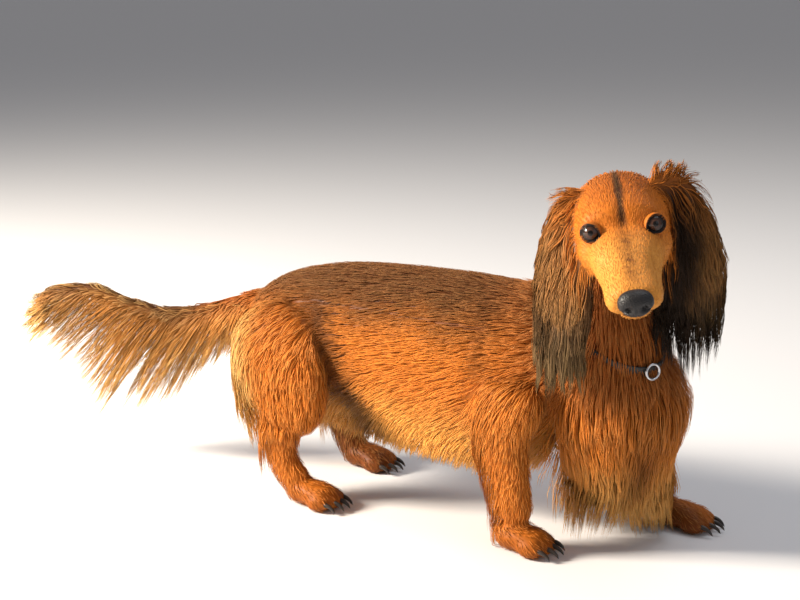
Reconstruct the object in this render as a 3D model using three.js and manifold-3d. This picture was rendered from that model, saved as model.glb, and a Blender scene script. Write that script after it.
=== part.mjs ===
// A long-haired standard dachshund that stands still, its head turned to its right.
// Millimetres, +X towards the chest, +Y the dog's left, +Z up, floor at Z = 0.
// Every solid reaches out to the tips of the coat.
import * as THREE from "three";
import { mergeVertices } from "three/addons/utils/BufferGeometryUtils.js";
import Module from "manifold-3d";

const wasm = await Module();
wasm.setup();

// Driving dimensions
const WITHERS_HEIGHT = 242;
const BELLY_HEIGHT = 70;
const CHEST_HALF_WIDTH = 78;
const GAP = 0.35;
const LEG_SPREAD = 71;
const PAW_HALF_WIDTH = 21;
const PAW_HEIGHT = 30;
const EYE_RADIUS = 9.2;
const EYE_SPACING = 53;
const EAR_THICKNESS = 9;
const TAIL_CORE = 11;
const COLLAR_WIDTH = 13;
const RING_RADIUS = 7;
const RING_WIRE = 1.2;
const FORWARD = new THREE.Vector3(1, 0, 0);
const UPWARD = new THREE.Vector3(0, 0, 1);

// The head's place: the point midway between the eyes, and its three turns in degrees
const EYE_POINT = new THREE.Vector3(263.6, -60, 310.2);
const HEAD_TURN = -60.65;
const HEAD_NOD = 14.3;
const HEAD_TILT = 9.5;

const finish = (colour, roughness, metalness = 0) => ({ colour, roughness, metalness });
const COATS = {
  back: finish(0x6e2f10, 0.62),
  flank: finish(0xb35a1c, 0.62),
  fringe: finish(0xd98f3a, 0.66),
  face: finish(0xc8721f, 0.6),
  ear: finish(0x4b2c18, 0.6),
  leg: finish(0xa04c17, 0.62),
};
const NOSE_LEATHER = finish(0x1c1a1c, 0.35);
const EYE_GLOSS = finish(0x1d0f08, 0.08);
const CLAW_HORN = finish(0x1f1712, 0.4);
const COLLAR_LEATHER = finish(0x15120f, 0.6);
const COLLAR_STEEL = finish(0xb9bcc0, 0.28, 1);

const degrees = THREE.MathUtils.degToRad;

// One cross-section of a body: its centre, half its width, and its reach to each side
// of the centre along the facing direction (front and back, or top and bottom).
const section = (x, y, z, wide, front, back = front) => ({
  at: new THREE.Vector3(x, y, z), reach: new THREE.Vector3(wide, front, back),
});

// The rows of a sphere carried along a smooth path through the sections. Each row keeps
// the section's shape, and close to an end it shrinks along a quarter of an ellipse.
// A row stands square to the path, or where hanging is true it keeps to the facing line.
// grow swells the whole body by that many millimetres.
function bodyAlong(sections, { facing, around, rows, ends, hanging = false, grow = 0 }) {
  const path = new THREE.CatmullRomCurve3(sections.map((s) => s.at));
  const reaches = new THREE.CatmullRomCurve3(sections.map((s) => s.reach));
  const geometry = new THREE.SphereGeometry(1, around, rows);
  const places = geometry.getAttribute("position");
  const closing = (t, length) => Math.sqrt(1 - (1 - Math.min(1, Math.max(0, t) / length)) ** 2);
  for (let i = 0; i < places.count; i++) {
    const t = THREE.MathUtils.clamp((1 - places.getY(i)) / 2, 0, 1);
    const centre = path.getPoint(t);
    const tangent = path.getTangent(t).normalize();
    const side = new THREE.Vector3().crossVectors(facing, tangent).normalize();
    const front = hanging ? facing : new THREE.Vector3().crossVectors(tangent, side);
    const reach = reaches.getPoint(t);
    const round = closing(t, ends[0]) * closing(1 - t, ends[1]);
    const ring = Math.hypot(places.getX(i), places.getZ(i)) || 1;
    const across = places.getX(i) / ring;
    const along = places.getZ(i) / ring;
    const depth = along > 0 ? reach.y : reach.z;
    centre.addScaledVector(side, across * (reach.x + grow) * round);
    centre.addScaledVector(front, along * (depth + grow) * round);
    centre.addScaledVector(tangent, grow * (2 * t - 1));
    places.setXYZ(i, centre.x, centre.y, centre.z);
  }
  return solidOf(geometry);
}

// A closed mesh as a solid that can be cut and joined
function solidOf(geometry) {
  geometry.deleteAttribute("normal");
  geometry.deleteAttribute("uv");
  const merged = mergeVertices(geometry, 1e-3);
  return new wasm.Manifold(new wasm.Mesh({
    numProp: 3,
    vertProperties: new Float32Array(merged.getAttribute("position").array),
    triVerts: new Uint32Array(merged.index.array),
  }));
}

const placed = (solid, matrix) => solid.transform(matrix.elements);
const joined = (solids) => solids.reduce((whole, next) => whole.add(next));
const without = (solid, cutters) => cutters.reduce((left, next) => left.subtract(next), solid);

// A ball stretched to three half sizes about a centre
function ball([x, y, z], [a, b, c], around = 14, rows = 10) {
  const geometry = new THREE.SphereGeometry(1, around, rows);
  geometry.rotateX(Math.PI / 2).scale(a, b, c).translate(x, y, z);
  return solidOf(geometry);
}

function block(size, centre, slope = 0, turn = 0) {
  const geometry = new THREE.BoxGeometry(...size);
  geometry.rotateY(slope).rotateZ(turn).translate(...centre);
  return solidOf(geometry);
}

function meshOf(name, solid, coat) {
  const { vertProperties, triVerts } = solid.getMesh();
  const geometry = new THREE.BufferGeometry();
  geometry.setAttribute("position", new THREE.BufferAttribute(vertProperties, 3));
  geometry.setIndex(new THREE.BufferAttribute(triVerts, 1));
  geometry.computeVertexNormals();
  const material = new THREE.MeshStandardMaterial({
    color: coat.colour, roughness: coat.roughness, metalness: coat.metalness,
  });
  const mesh = new THREE.Mesh(geometry, material);
  mesh.name = name;
  return mesh;
}

// Head, in its own axes: +X along the muzzle, +Y its left, +Z its crown,
// origin midway between the eyes
const head = new THREE.Group();
head.position.copy(EYE_POINT);
head.rotation.order = "ZYX";
head.rotation.set(degrees(HEAD_TILT), degrees(HEAD_NOD), degrees(HEAD_TURN));
head.updateMatrixWorld(true);
const headPoint = (x, y, z) => new THREE.Vector3(x, y, z).applyMatrix4(head.matrixWorld);

const cranium = (grow) => bodyAlong([
  section(-94, 0, -2, 26, 18, 24),
  section(-66, 0, -6, 40, 33, 32),
  section(-34, 0, -8, 45, 41, 36),
  section(-8, 0, -8, 42, 34, 34),
  section(14, 0, -8, 34, 22, 28),
], { facing: UPWARD, around: 14, rows: 10, ends: [0.12, 0.2], grow });

const muzzle = (grow) => bodyAlong([
  section(-12, 0, -18, 36, 30, 34),
  section(22, 0, -20, 29, 24, 30),
  section(52, 0, -24, 26, 19, 25),
  section(78, 0, -28.5, 26.5, 16.5, 19),
  section(95, 0, -32, 21, 13, 12),
], { facing: UPWARD, around: 14, rows: 9, ends: [0.12, 0.1], grow });

const cheek = (side, grow) =>
  ball([-14, side * 25, -25], [34 + grow, 18 + grow, 26 + grow], 9, 5);

const skull = (grow = 0) => joined([cranium(grow), muzzle(grow), cheek(1, grow), cheek(-1, grow)]);

const jaw = (grow = 0) => bodyAlong([
  section(-34, 0, -42, 24, 12, 14),
  section(10, 0, -43, 24, 10, 14),
  section(50, 0, -44, 21, 8, 12),
  section(78, 0, -45.5, 17, 6, 9),
  section(89, 0, -45.5, 12, 5, 6.5),
], { facing: UPWARD, around: 11, rows: 7, ends: [0.12, 0.12], grow });

const eyeball = (side, grow = 0) => {
  const radius = EYE_RADIUS + grow;
  return ball([3, (side * EYE_SPACING) / 2, 0], [radius, radius, radius], 10, 7);
};

const nosePad = (grow = 0) => ball([94, 0, -27.5], [9.5 + grow, 15.5 + grow, 11.5 + grow], 10, 7);

// Ears: each hangs from high on the skull, its flat face turned half forward
const EAR_ROOT = { back: -44, out: 38, high: 21 };
const earFlaps = {
  right: {
    root: headPoint(EAR_ROOT.back, -EAR_ROOT.out, EAR_ROOT.high),
    steps: [[5, 5, 0, 16], [3, -10, -26, 22], [5, -24, -64, 28], [9, -33, -102, 30],
      [9, -38, -138, 28], [3, -40, -168, 14]],
  },
  left: {
    root: headPoint(EAR_ROOT.back, EAR_ROOT.out, EAR_ROOT.high),
    steps: [[-4, -2, 11, 17], [14, 7, -22, 28], [22, 16, -64, 38], [24, 24, -104, 38],
      [27, 30, -142, 31], [31, 33, -176, 13]],
  },
};
const ear = (side, grow = 0) => {
  const { root, steps } = earFlaps[side];
  const sections = steps.map(([x, y, z, wide]) =>
    section(root.x + x, root.y + y, root.z + z, wide, EAR_THICKNESS));
  const facing = side === "right" ? new THREE.Vector3(0.05, -1, 0) : new THREE.Vector3(0.75, -0.66, 0);
  return bodyAlong(sections, { facing, around: 12, rows: 11, ends: [0.14, 0.2], grow });
};

// Trunk, neck and breast
const back = (x, top, bottom, wide) => {
  const middle = (top + bottom) / 2;
  return section(x, 0, middle, wide, top - middle);
};
const trunk = (grow = 0) => bodyAlong([
  back(-184, 188, 128, 38),
  back(-132, WITHERS_HEIGHT - 20, 96, 58),
  back(-62, WITHERS_HEIGHT - 3, BELLY_HEIGHT + 6, 66),
  back(18, WITHERS_HEIGHT + 1, BELLY_HEIGHT - 7, CHEST_HALF_WIDTH - 4),
  back(92, WITHERS_HEIGHT, BELLY_HEIGHT - 12, CHEST_HALF_WIDTH),
  back(160, WITHERS_HEIGHT - 8, BELLY_HEIGHT - 12, CHEST_HALF_WIDTH - 4),
  back(226, WITHERS_HEIGHT - 46, BELLY_HEIGHT + 8, 60),
], { facing: UPWARD, around: 16, rows: 11, ends: [0.12, 0.14], grow });

const neck = (grow = 0) => bodyAlong([
  section(212, 0, 138, 70, 84, 76),
  section(214, 0, 190, 62, 76, 66),
  section(214, 3, 238, 52, 54, 48),
  section(219, 8, 284, 45, 42, 39),
  section(226, 12, 318, 38, 30, 32),
], { facing: FORWARD, around: 14, rows: 8, ends: [0.14, 0.14], grow });

const breast = (grow = 0) => bodyAlong([
  section(232, 4, 178, 56, 50, 56),
  section(230, 6, 140, 70, 72, 66),
  section(232, 6, 98, 66, 68, 60),
  section(234, 2, 60, 50, 54, 48),
  section(230, 0, 28, 34, 38, 34),
], { facing: FORWARD, around: 14, rows: 8, ends: [0.16, 0.14], grow });

// Legs: an upper part, and a paw with four toes that is flat underneath
const floor = block([1400, 600, 60], [0, 0, -30]);
const foreleg = ([shoulder, elbow, wrist], y, grow = 0) => bodyAlong([
  section(shoulder[0], y * 0.82, shoulder[1], 20, 36, 42),
  section((shoulder[0] + elbow[0]) / 2, y * 0.96, (shoulder[1] + elbow[1]) / 2, 25, 40, 48),
  section(elbow[0], y, elbow[1], 23, 32, 50),
  section((elbow[0] + wrist[0]) / 2, y, (elbow[1] + wrist[1]) / 2, 20, 27, 54),
  section(wrist[0], y, wrist[1], 19, 25, 54),
], { facing: FORWARD, around: 14, rows: 8, ends: [0.14, 0.14], grow });

const thigh = ([hip, middle, knee, hem], y, grow = 0) => bodyAlong([
  section(hip[0], y * 0.72, hip[1], 18, 44, 40),
  section(middle[0], y * 0.92, middle[1], 27, 66, 64),
  section(knee[0], y, knee[1], 27, 62, 62),
  section(hem[0], y, hem[1], 21, 34, 40),
], { facing: FORWARD, around: 16, rows: 8, ends: [0.2, 0.16], grow });

const hock = ([top, point, foot], y, grow = 0) => bodyAlong([
  section(top[0], y, top[1], 20, 30, 32),
  section(point[0], y, point[1], 18, 21, 23),
  section(foot[0], y, foot[1], 17, 20, 18),
], { facing: FORWARD, around: 12, rows: 6, ends: [0.16, 0.16], grow });

const TOES = [-1.5, -0.5, 0.5, 1.5];
function paw(heel, tip, y, grow = 0) {
  const length = tip - heel;
  const pad = bodyAlong([
    section(heel, y, PAW_HEIGHT / 2 - 1, 14 + grow, 13, 16),
    section(heel + length * 0.35, y, PAW_HEIGHT / 2, PAW_HALF_WIDTH - 2, 16, 18),
    section(heel + length * 0.7, y, PAW_HEIGHT / 2 - 2, PAW_HALF_WIDTH, 13, 16),
    section(tip - 8, y, PAW_HEIGHT / 2 - 4, PAW_HALF_WIDTH - 4, 8, 13),
  ], { facing: UPWARD, around: 10, rows: 5, ends: [0.2, 0.2], grow });
  const toes = TOES.map((place) => ball(
    [tip - 13 - Math.abs(place) * 4, y + place * 10.5, 9.5],
    [14 + grow, 6.2 + grow, 11 + grow], 6, 3));
  return joined([pad, ...toes]).subtract(floor);
}

function claw(tip, y, place) {
  const root = tip - 5 - Math.abs(place) * 4;
  const side = y + place * 10.5;
  return bodyAlong([
    section(root, side, 8.5, 2.2, 2.4),
    section(root + 6, side, 8, 1.9, 2.1),
    section(root + 12, side, 4.6, 0.9, 1),
  ], { facing: UPWARD, around: 5, rows: 4, ends: [0.2, 0.35] });
}

const stance = {
  fore: {
    right: { y: -LEG_SPREAD, joints: [[162, 158], [158, 104], [172, 24]], paw: [148, 212] },
    left: { y: LEG_SPREAD - 3, joints: [[204, 158], [222, 104], [262, 24]], paw: [244, 314] },
  },
  hind: {
    right: {
      y: -LEG_SPREAD + 1,
      thigh: [[-122, 200], [-112, 150], [-94, 106], [-100, 70]],
      hock: [[-98, 84], [-94, 44], [-72, 16]],
      paw: [-90, -24],
    },
    left: {
      y: LEG_SPREAD - 9,
      thigh: [[-124, 200], [-116, 150], [-104, 106], [-112, 70]],
      hock: [[-112, 84], [-110, 44], [-92, 16]],
      paw: [-110, -44],
    },
  },
};

// Tail, held level and swung to the right, with its feather hanging below the core
const tailSections = [
  section(-150, 0, 192, 20, 15, 18),
  section(-188, -7, 184, 16, TAIL_CORE + 2, 18),
  section(-232, -21, 172, 14, TAIL_CORE, 42),
  section(-274, -35, 166, 14, TAIL_CORE, 104),
  section(-316, -49, 176, 14, TAIL_CORE, 110),
  section(-354, -61, 189, 13, TAIL_CORE, 92),
  section(-392, -71, 184, 12, TAIL_CORE, 58),
  section(-426, -80, 178, 9, 7, 26),
];
const TAIL_JOIN = -214;
const tail = (grow = 0) =>
  bodyAlong(tailSections,
    { facing: UPWARD, around: 12, rows: 18, ends: [0.08, 0.1], hanging: true, grow });
const tailHalf = (from, to) =>
  tail().intersect(block([to - from, 400, 600], [(from + to) / 2, -40, 150]));

// Collar, sunk in a groove round the neck and lower at the throat
const COLLAR_SLOPE = degrees(34);
const COLLAR_TURN = degrees(-32);
const COLLAR_CENTRE = [214, 0, 217];
const collarSlab = (width) => block([300, 300, width], COLLAR_CENTRE, COLLAR_SLOPE, COLLAR_TURN);
const collarShell = (width, outside, inside) =>
  collarSlab(width).intersect(neck(outside).subtract(neck(inside)));
const groove = collarShell(COLLAR_WIDTH + 2 * GAP, 14, -4 - GAP);
const RING_PLACE = [295, -14, 169];
const ringGeometry = new THREE.TorusGeometry(RING_RADIUS, RING_WIRE, 5, 14);
ringGeometry.rotateX(Math.PI / 2).rotateZ(degrees(60)).translate(...RING_PLACE);
const ring = solidOf(ringGeometry);
const ringPocket = ball(RING_PLACE, [9, 10, 10]);

// Solids, each cut where a neighbour meets it
const headSolids = (grow) => [placed(skull(grow), head.matrixWorld), placed(jaw(grow), head.matrixWorld)];
const ears = (grow) => [ear("left", grow), ear("right", grow)];
const sides = ["left", "right"];
const signOf = (side) => (side === "left" ? 1 : -1);
const forelegs = (grow) => sides.map((s) => foreleg(stance.fore[s].joints, stance.fore[s].y, grow));
const thighs = (grow) => sides.map((s) => thigh(stance.hind[s].thigh, stance.hind[s].y, grow));
const hocks = (grow) => sides.map((s) => hock(stance.hind[s].hock, stance.hind[s].y, grow));
const paws = (grow) => ["fore", "hind"].flatMap((pair) => sides.map((s) =>
  paw(...stance[pair][s].paw, stance[pair][s].y, grow)));

const dog = new THREE.Group();
const unturned = head.matrixWorld.clone().invert();
const earsInHead = ears(GAP).map((solid) => placed(solid, unturned));
const faceCutters = [eyeball(1, GAP), eyeball(-1, GAP), nosePad(GAP), jaw(GAP), ...earsInHead];
head.add(meshOf("head", without(skull(), faceCutters), COATS.face));
head.add(meshOf("lower_jaw", without(jaw(), [nosePad(GAP), ...earsInHead]), COATS.face));
head.add(meshOf("nose", nosePad(), NOSE_LEATHER));
for (const side of sides) {
  head.add(meshOf(`eye_${side}`, eyeball(signOf(side)), EYE_GLOSS));
  dog.add(meshOf(`ear_${side}`, ear(side), COATS.ear));
}
dog.add(head);

const collarCutters = [trunk(GAP), ...ears(GAP), ...headSolids(GAP)];
const band = without(collarShell(COLLAR_WIDTH, -1, -4), collarCutters);
const limbs = [...forelegs(GAP), ...thighs(GAP), ...paws(GAP), ...hocks(GAP)];
const neckCutters = [trunk(GAP), ...headSolids(GAP), ...ears(GAP), ...forelegs(GAP), groove];
dog.add(meshOf("collar_band", band, COLLAR_LEATHER));
dog.add(meshOf("collar_ring", ring, COLLAR_STEEL));
dog.add(meshOf("trunk", without(trunk(), [...limbs, tail(GAP)]), COATS.back));
dog.add(meshOf("neck", without(neck(), neckCutters), COATS.flank));
dog.add(meshOf("breast", without(breast(), [neck(GAP), ringPocket, ...neckCutters, ...limbs]), COATS.fringe));
dog.add(meshOf("tail_root", without(tailHalf(TAIL_JOIN + GAP, -100), thighs(GAP)), COATS.flank));
dog.add(meshOf("tail_end", tailHalf(-500, TAIL_JOIN), COATS.fringe));

for (const side of sides) {
  const fore = stance.fore[side];
  const hind = stance.hind[side];
  const forePaw = paw(...fore.paw, fore.y);
  const hindPaw = paw(...hind.paw, hind.y);
  const foreClaws = TOES.map((place) => claw(fore.paw[1], fore.y, place));
  const hindClaws = TOES.map((place) => claw(hind.paw[1], hind.y, place));
  const foreCut = [paw(...fore.paw, fore.y, GAP)];
  const hindCut = [paw(...hind.paw, hind.y, GAP)];
  dog.add(meshOf(`foreleg_${side}`, without(foreleg(fore.joints, fore.y), foreCut), COATS.leg));
  dog.add(meshOf(`forepaw_${side}`, without(forePaw, foreClaws), COATS.leg));
  const hockSolid = without(hock(hind.hock, hind.y), hindCut);
  const hockCut = hock(hind.hock, hind.y, GAP);
  dog.add(meshOf(`thigh_${side}`, without(thigh(hind.thigh, hind.y), [hockCut, ...hindCut]), COATS.flank));
  dog.add(meshOf(`hock_${side}`, hockSolid, COATS.leg));
  dog.add(meshOf(`hindpaw_${side}`, without(hindPaw, hindClaws), COATS.leg));
  foreClaws.forEach((solid, i) => dog.add(meshOf(`claw_fore_${side}_${i + 1}`, solid, CLAW_HORN)));
  hindClaws.forEach((solid, i) => dog.add(meshOf(`claw_hind_${side}_${i + 1}`, solid, CLAW_HORN)));
}

// The origin is on the floor, under the middle of the whole outline
const middle = new THREE.Box3().setFromObject(dog, true).getCenter(new THREE.Vector3());
dog.position.set(-middle.x, -middle.y, 0);
const part = new THREE.Group();
part.add(dog);

export default part;
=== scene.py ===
"""A long-haired dachshund as a still museum model: a skin with a coat of solid mesh tufts, eyes, nose, claws
and collar.

Shapes are worked out in the stance frame: millimetres, +X to the chest, +Y the dog's left, floor at Z = 0.
to_frame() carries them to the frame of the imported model, in metres.
"""

import math

import bmesh
import bpy
import numpy as np
from mathutils import Matrix, Vector


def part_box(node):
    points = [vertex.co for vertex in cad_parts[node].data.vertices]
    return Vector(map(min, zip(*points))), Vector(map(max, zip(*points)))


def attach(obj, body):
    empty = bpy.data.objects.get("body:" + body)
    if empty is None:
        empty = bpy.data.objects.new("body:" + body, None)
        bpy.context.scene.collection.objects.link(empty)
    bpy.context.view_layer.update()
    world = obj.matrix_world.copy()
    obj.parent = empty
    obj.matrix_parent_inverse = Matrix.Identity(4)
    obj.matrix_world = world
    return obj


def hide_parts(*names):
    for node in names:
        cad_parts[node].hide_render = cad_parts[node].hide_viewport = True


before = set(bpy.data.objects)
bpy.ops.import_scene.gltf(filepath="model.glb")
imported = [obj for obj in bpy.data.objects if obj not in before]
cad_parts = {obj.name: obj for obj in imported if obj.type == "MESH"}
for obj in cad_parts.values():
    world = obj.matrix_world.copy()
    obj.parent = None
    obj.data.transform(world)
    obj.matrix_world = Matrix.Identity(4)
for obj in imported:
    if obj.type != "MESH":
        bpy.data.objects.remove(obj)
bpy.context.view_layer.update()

MM = 0.001
FORWARD = np.array([1.0, 0.0, 0.0])
UPWARD = np.array([0.0, 0.0, 1.0])

# The head's place: the point midway between the eyes, and its three turns in degrees
EYE_POINT = np.array([263.6, -60.0, 310.2])
HEAD_TURN, HEAD_NOD, HEAD_TILT = -60.65, 14.3, 9.5
EYE_FORWARD, EYE_OUT = 3.0, 26.5
EYE_RADIUS = 9.2
HEAD_AXES = np.array(
    Matrix.Rotation(math.radians(HEAD_TURN), 3, "Z")
    @ Matrix.Rotation(math.radians(HEAD_NOD), 3, "Y")
    @ Matrix.Rotation(math.radians(HEAD_TILT), 3, "X")
)

WITHERS = 242
LEG_SPREAD = 71
SKIN_VOXEL = 2.9
TOES = (-1.5, -0.5, 0.5, 1.5)

REGIONS = ("trunk", "neck", "breast", "head", "jaw", "ear_right", "ear_left", "foreleg", "thigh", "hock",
           "paw", "tail")
CODE = {name: i for i, name in enumerate(REGIONS)}


def from_head(points):
    """Points in the head's axes, carried to the stance frame."""
    return EYE_POINT + np.asarray(points, float) @ HEAD_AXES.T


def in_head(points):
    """Points in the stance frame, seen in the head's axes: muzzle, left, crown."""
    return (np.asarray(points, float) - EYE_POINT) @ HEAD_AXES


# The left eye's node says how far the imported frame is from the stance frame
eye_box = [np.array(corner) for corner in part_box("eye_left")]
SHIFT = (eye_box[0] + eye_box[1]) / 2 / MM - from_head([EYE_FORWARD, EYE_OUT, 0])


def to_frame(points):
    """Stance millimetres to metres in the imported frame."""
    return (np.asarray(points, float) + SHIFT) * MM


def to_stance(points):
    """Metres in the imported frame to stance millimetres."""
    return np.asarray(points, float) / MM - SHIFT


# Small tools on whole arrays
def unit(vectors):
    """Each vector divided by its length."""
    return vectors / np.maximum(np.linalg.norm(vectors, axis=-1, keepdims=True), 1e-9)


def dot(a, b):
    """The scalar product along the last axis, kept as a column."""
    return (a * b).sum(-1, keepdims=True)


def ramp(x, low, high):
    """0 below low, 1 above high, and the smooth cubic between them."""
    f = np.clip((x - low) / (high - low), 0, 1)
    return f * f * (3 - 2 * f)


def mix(a, b, share):
    """a where share is 0 and b where it is 1, for rows of vectors or plain values."""
    a, b = np.asarray(a, float), np.asarray(b, float)
    share = share[:, None] if max(a.ndim, b.ndim) == 2 or a.shape == (3,) else share
    return a + (b - a) * share


def bell(points, centre, widths):
    """A bell-shaped hill: e to the minus squared distance from centre, measured in widths."""
    return np.exp(-(((points - np.array(centre)) / np.array(widths)) ** 2).sum(1))


def mottle(points, size, seed):
    """Smooth noise from -1 to 1: the mean of sines along six fixed random directions, one wave per
    size."""
    rng = np.random.default_rng(seed)
    ways = unit(rng.normal(size=(6, 3))) * (2 * np.pi / size) * rng.uniform(0.6, 1.5, (6, 1))
    return np.sin(points @ ways.T + rng.uniform(0, 6.28, 6)).mean(1) * 1.6


def spline(values, t):
    """A Catmull-Rom curve through evenly spaced rows of values, at each t from 0 to 1."""
    values = np.asarray(values, float)
    spans = len(values) - 1
    padded = np.vstack([2 * values[0] - values[1], values, 2 * values[-1] - values[-2]])
    x = np.clip(t, 0, 1) * spans
    i = np.minimum(x.astype(int), spans - 1)
    f = (x - i)[:, None]
    a, b, c, d = (padded[i + k] for k in range(4))
    return 0.5 * (2 * b + (c - a) * f + (2 * a - 5 * b + 4 * c - d) * f**2 + (3 * b - a - 3 * c + d) * f**3)


# Surfaces on a grid
def loft(sections, facing=FORWARD, rows=26, around=28, ends=(0.14, 0.14), hanging=False):
    """Ovals carried along a smooth path. Each section is x, y, z, half width, reach to the facing side,
    reach to the other side. A ring's point is the centre + side * cos(a) * width + facing * sin(a) *
    reach, and close to an end the ring shrinks along a quarter of an ellipse."""
    t = (1 - np.cos(np.linspace(0, np.pi, rows + 1))) / 2
    s = spline(sections, t)
    centre = s[:, :3]
    ahead = unit(np.gradient(centre, axis=0))
    side = unit(np.cross(facing, ahead))
    outward = np.broadcast_to(facing, side.shape) if hanging else np.cross(ahead, side)
    close = [np.sqrt(1 - (1 - np.clip(x / length, 0, 1)) ** 2) for x, length in zip((t, 1 - t), ends)]
    shrink = (close[0] * close[1])[:, None, None]
    a = np.linspace(0, 2 * np.pi, around, endpoint=False)[None, :, None]
    reach = np.where(np.sin(a) > 0, s[:, 4][:, None, None], s[:, 5][:, None, None])
    width = s[:, 3][:, None, None]
    ring = side[:, None] * np.cos(a) * width + outward[:, None] * np.sin(a) * reach
    return centre[:, None] + ring * shrink


def ball(centre, half, rows=14, around=20):
    """A stretched sphere as a grid: poles along Z, point = centre + half * (sin t cos a, sin t sin a, cos
    t)."""
    t = np.linspace(0, np.pi, rows + 1)[:, None]
    a = np.linspace(0, 2 * np.pi, around, endpoint=False)[None]
    sphere = np.stack([np.sin(t) * np.cos(a), np.sin(t) * np.sin(a), np.cos(t) + 0 * a], -1)
    return np.array(centre) + sphere * np.array(half)


def shell(grid):
    """Vertices and faces of a closed grid whose first and last rows are poles."""
    rows, around = grid.shape[0] - 1, grid.shape[1]
    verts = np.vstack([grid[0, :1], grid[1:-1].reshape(-1, 3), grid[-1, :1]])
    ring = np.arange(around)
    after = (ring + 1) % around
    r = np.arange(rows - 2)[:, None] * around + 1
    quads = np.stack([r + ring, r + after, r + around + after, r + around + ring], -1).reshape(-1, 4)
    last = len(verts) - 1
    base = 1 + (rows - 2) * around
    caps = [(0, a, b) for a, b in zip(after + 1, ring + 1)]
    caps += [(last, base + a, base + b) for a, b in zip(ring, after)]
    return verts, [*map(tuple, quads.tolist()), *caps]


def tube(centres, side, outward, profile):
    """A closed profile of (across, out) points carried round a closed path: point = centre + side *
    across + outward * out. The last ring joins the first."""
    profile = np.asarray(profile, float)
    grid = centres[:, None] + side[:, None] * profile[None, :, :1] + outward[:, None] * profile[None, :, 1:]
    n, m = grid.shape[:2]
    i, j = np.meshgrid(np.arange(n), np.arange(m), indexing="ij")
    after_i, after_j = (i + 1) % n, (j + 1) % m
    quads = np.stack([i * m + j, after_i * m + j, after_i * m + after_j, i * m + after_j], -1).reshape(-1, 4)
    return grid.reshape(-1, 3), [tuple(q) for q in quads.tolist()]


def joined(shells):
    """Several (vertices, faces) as one."""
    verts, faces, start = [], [], 0
    for v, f in shells:
        verts.append(v)
        faces += [tuple(i + start for i in face) for face in f]
        start += len(v)
    return np.vstack(verts), faces


def new_object(name, mesh):
    """The mesh as an object of the scene."""
    piece = bpy.data.objects.new(name, mesh)
    bpy.context.scene.collection.objects.link(piece)
    return piece


def solid(name, verts, faces, material=None):
    """A closed smooth mesh piece from stance millimetres, its faces pointing out."""
    mesh = bpy.data.meshes.new(name)
    mesh.from_pydata(to_frame(verts).tolist(), [], faces)
    work = bmesh.new()
    work.from_mesh(mesh)
    bmesh.ops.recalc_face_normals(work, faces=work.faces)
    work.to_mesh(mesh)
    work.free()
    mesh.shade_smooth()
    if material:
        mesh.materials.append(material)
    return new_object(name, mesh)


def vertices_of(mesh):
    """The mesh's vertices as stance millimetres."""
    flat = np.empty(len(mesh.vertices) * 3, np.float32)
    mesh.vertices.foreach_get("co", flat)
    return to_stance(flat.reshape(-1, 3))


def normals_of(mesh):
    """The mesh's normals, one for each vertex."""
    flat = np.empty(len(mesh.vertices) * 3, np.float32)
    mesh.vertex_normals.foreach_get("vector", flat)
    return flat.reshape(-1, 3).astype(float)


def edges_of(mesh):
    """The two vertex numbers of each edge."""
    flat = np.empty(len(mesh.edges) * 2, np.int32)
    mesh.edges.foreach_get("vertices", flat)
    return flat.reshape(-1, 2)


def smoothed(values, edges, times, share=0.5, where=None):
    """Each row drawn towards the mean of its neighbours along the edges, times over."""
    values = values.astype(float)
    n = len(values)
    ends = np.concatenate([edges[:, 0], edges[:, 1]])
    others = np.concatenate([edges[:, 1], edges[:, 0]])
    count = np.maximum(np.bincount(ends, minlength=n), 1)[:, None]
    share = share if where is None else share * where[:, None]
    for _ in range(times):
        mean = np.stack([np.bincount(ends, values[others, k], n) for k in range(values.shape[1])], 1) / count
        values = values + (mean - values) * share
    return values


def relaxed(points, edges, times, where=None):
    """Smoothing that keeps the volume: each step in is followed by a slightly larger step out."""
    for _ in range(times):
        points = smoothed(points, edges, 1, 0.5, where)
        points = smoothed(points, edges, 1, -0.52, where)
    return points


BLOCK = 1500


def nearest_index(points, others):
    """For each point, the index of the nearest of the others, in blocks of whole-array products."""
    points, others = points.astype(np.float32), others.astype(np.float32)
    size = (others**2).sum(1)
    blocks = np.array_split(points, len(points) // BLOCK + 1)
    return np.concatenate([np.argmin(size - 2 * block @ others.T, 1) for block in blocks])


# The flesh under the coat, part by part
def back(x, top, bottom, wide):
    """A section of the trunk from its top, bottom and half width."""
    middle = (top + bottom) / 2
    return (x, 0, middle, wide, top - middle, top - middle)


def middle_of(a, b):
    """The point halfway between two points of a side view."""
    return ((a[0] + b[0]) / 2, (a[1] + b[1]) / 2)


FORE = {
    -1: {"y": -LEG_SPREAD, "joints": [(162, 158), (158, 104), (172, 24)], "paw": (148, 212)},
    1: {"y": LEG_SPREAD - 3, "joints": [(204, 158), (222, 104), (262, 24)], "paw": (244, 314)},
}
HIND = {
    -1: {"y": 1 - LEG_SPREAD, "thigh": [(-122, 200), (-112, 150), (-94, 106), (-100, 76)],
         "hock": [(-98, 84), (-94, 44), (-72, 16)], "paw": (-90, -24)},
    1: {"y": LEG_SPREAD - 9, "thigh": [(-124, 200), (-116, 150), (-104, 106), (-112, 76)],
        "hock": [(-112, 84), (-110, 44), (-92, 16)], "paw": (-110, -44)},
}
TRUNK = [
    back(-182, 184, 140, 32), back(-134, WITHERS - 25, 108, 50), back(-62, WITHERS - 7, 92, 56),
    back(18, WITHERS - 3, 82, 64), back(92, WITHERS - 4, 76, 69), back(160, WITHERS - 12, 78, 65),
    back(220, WITHERS - 51, 98, 46),
]
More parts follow.
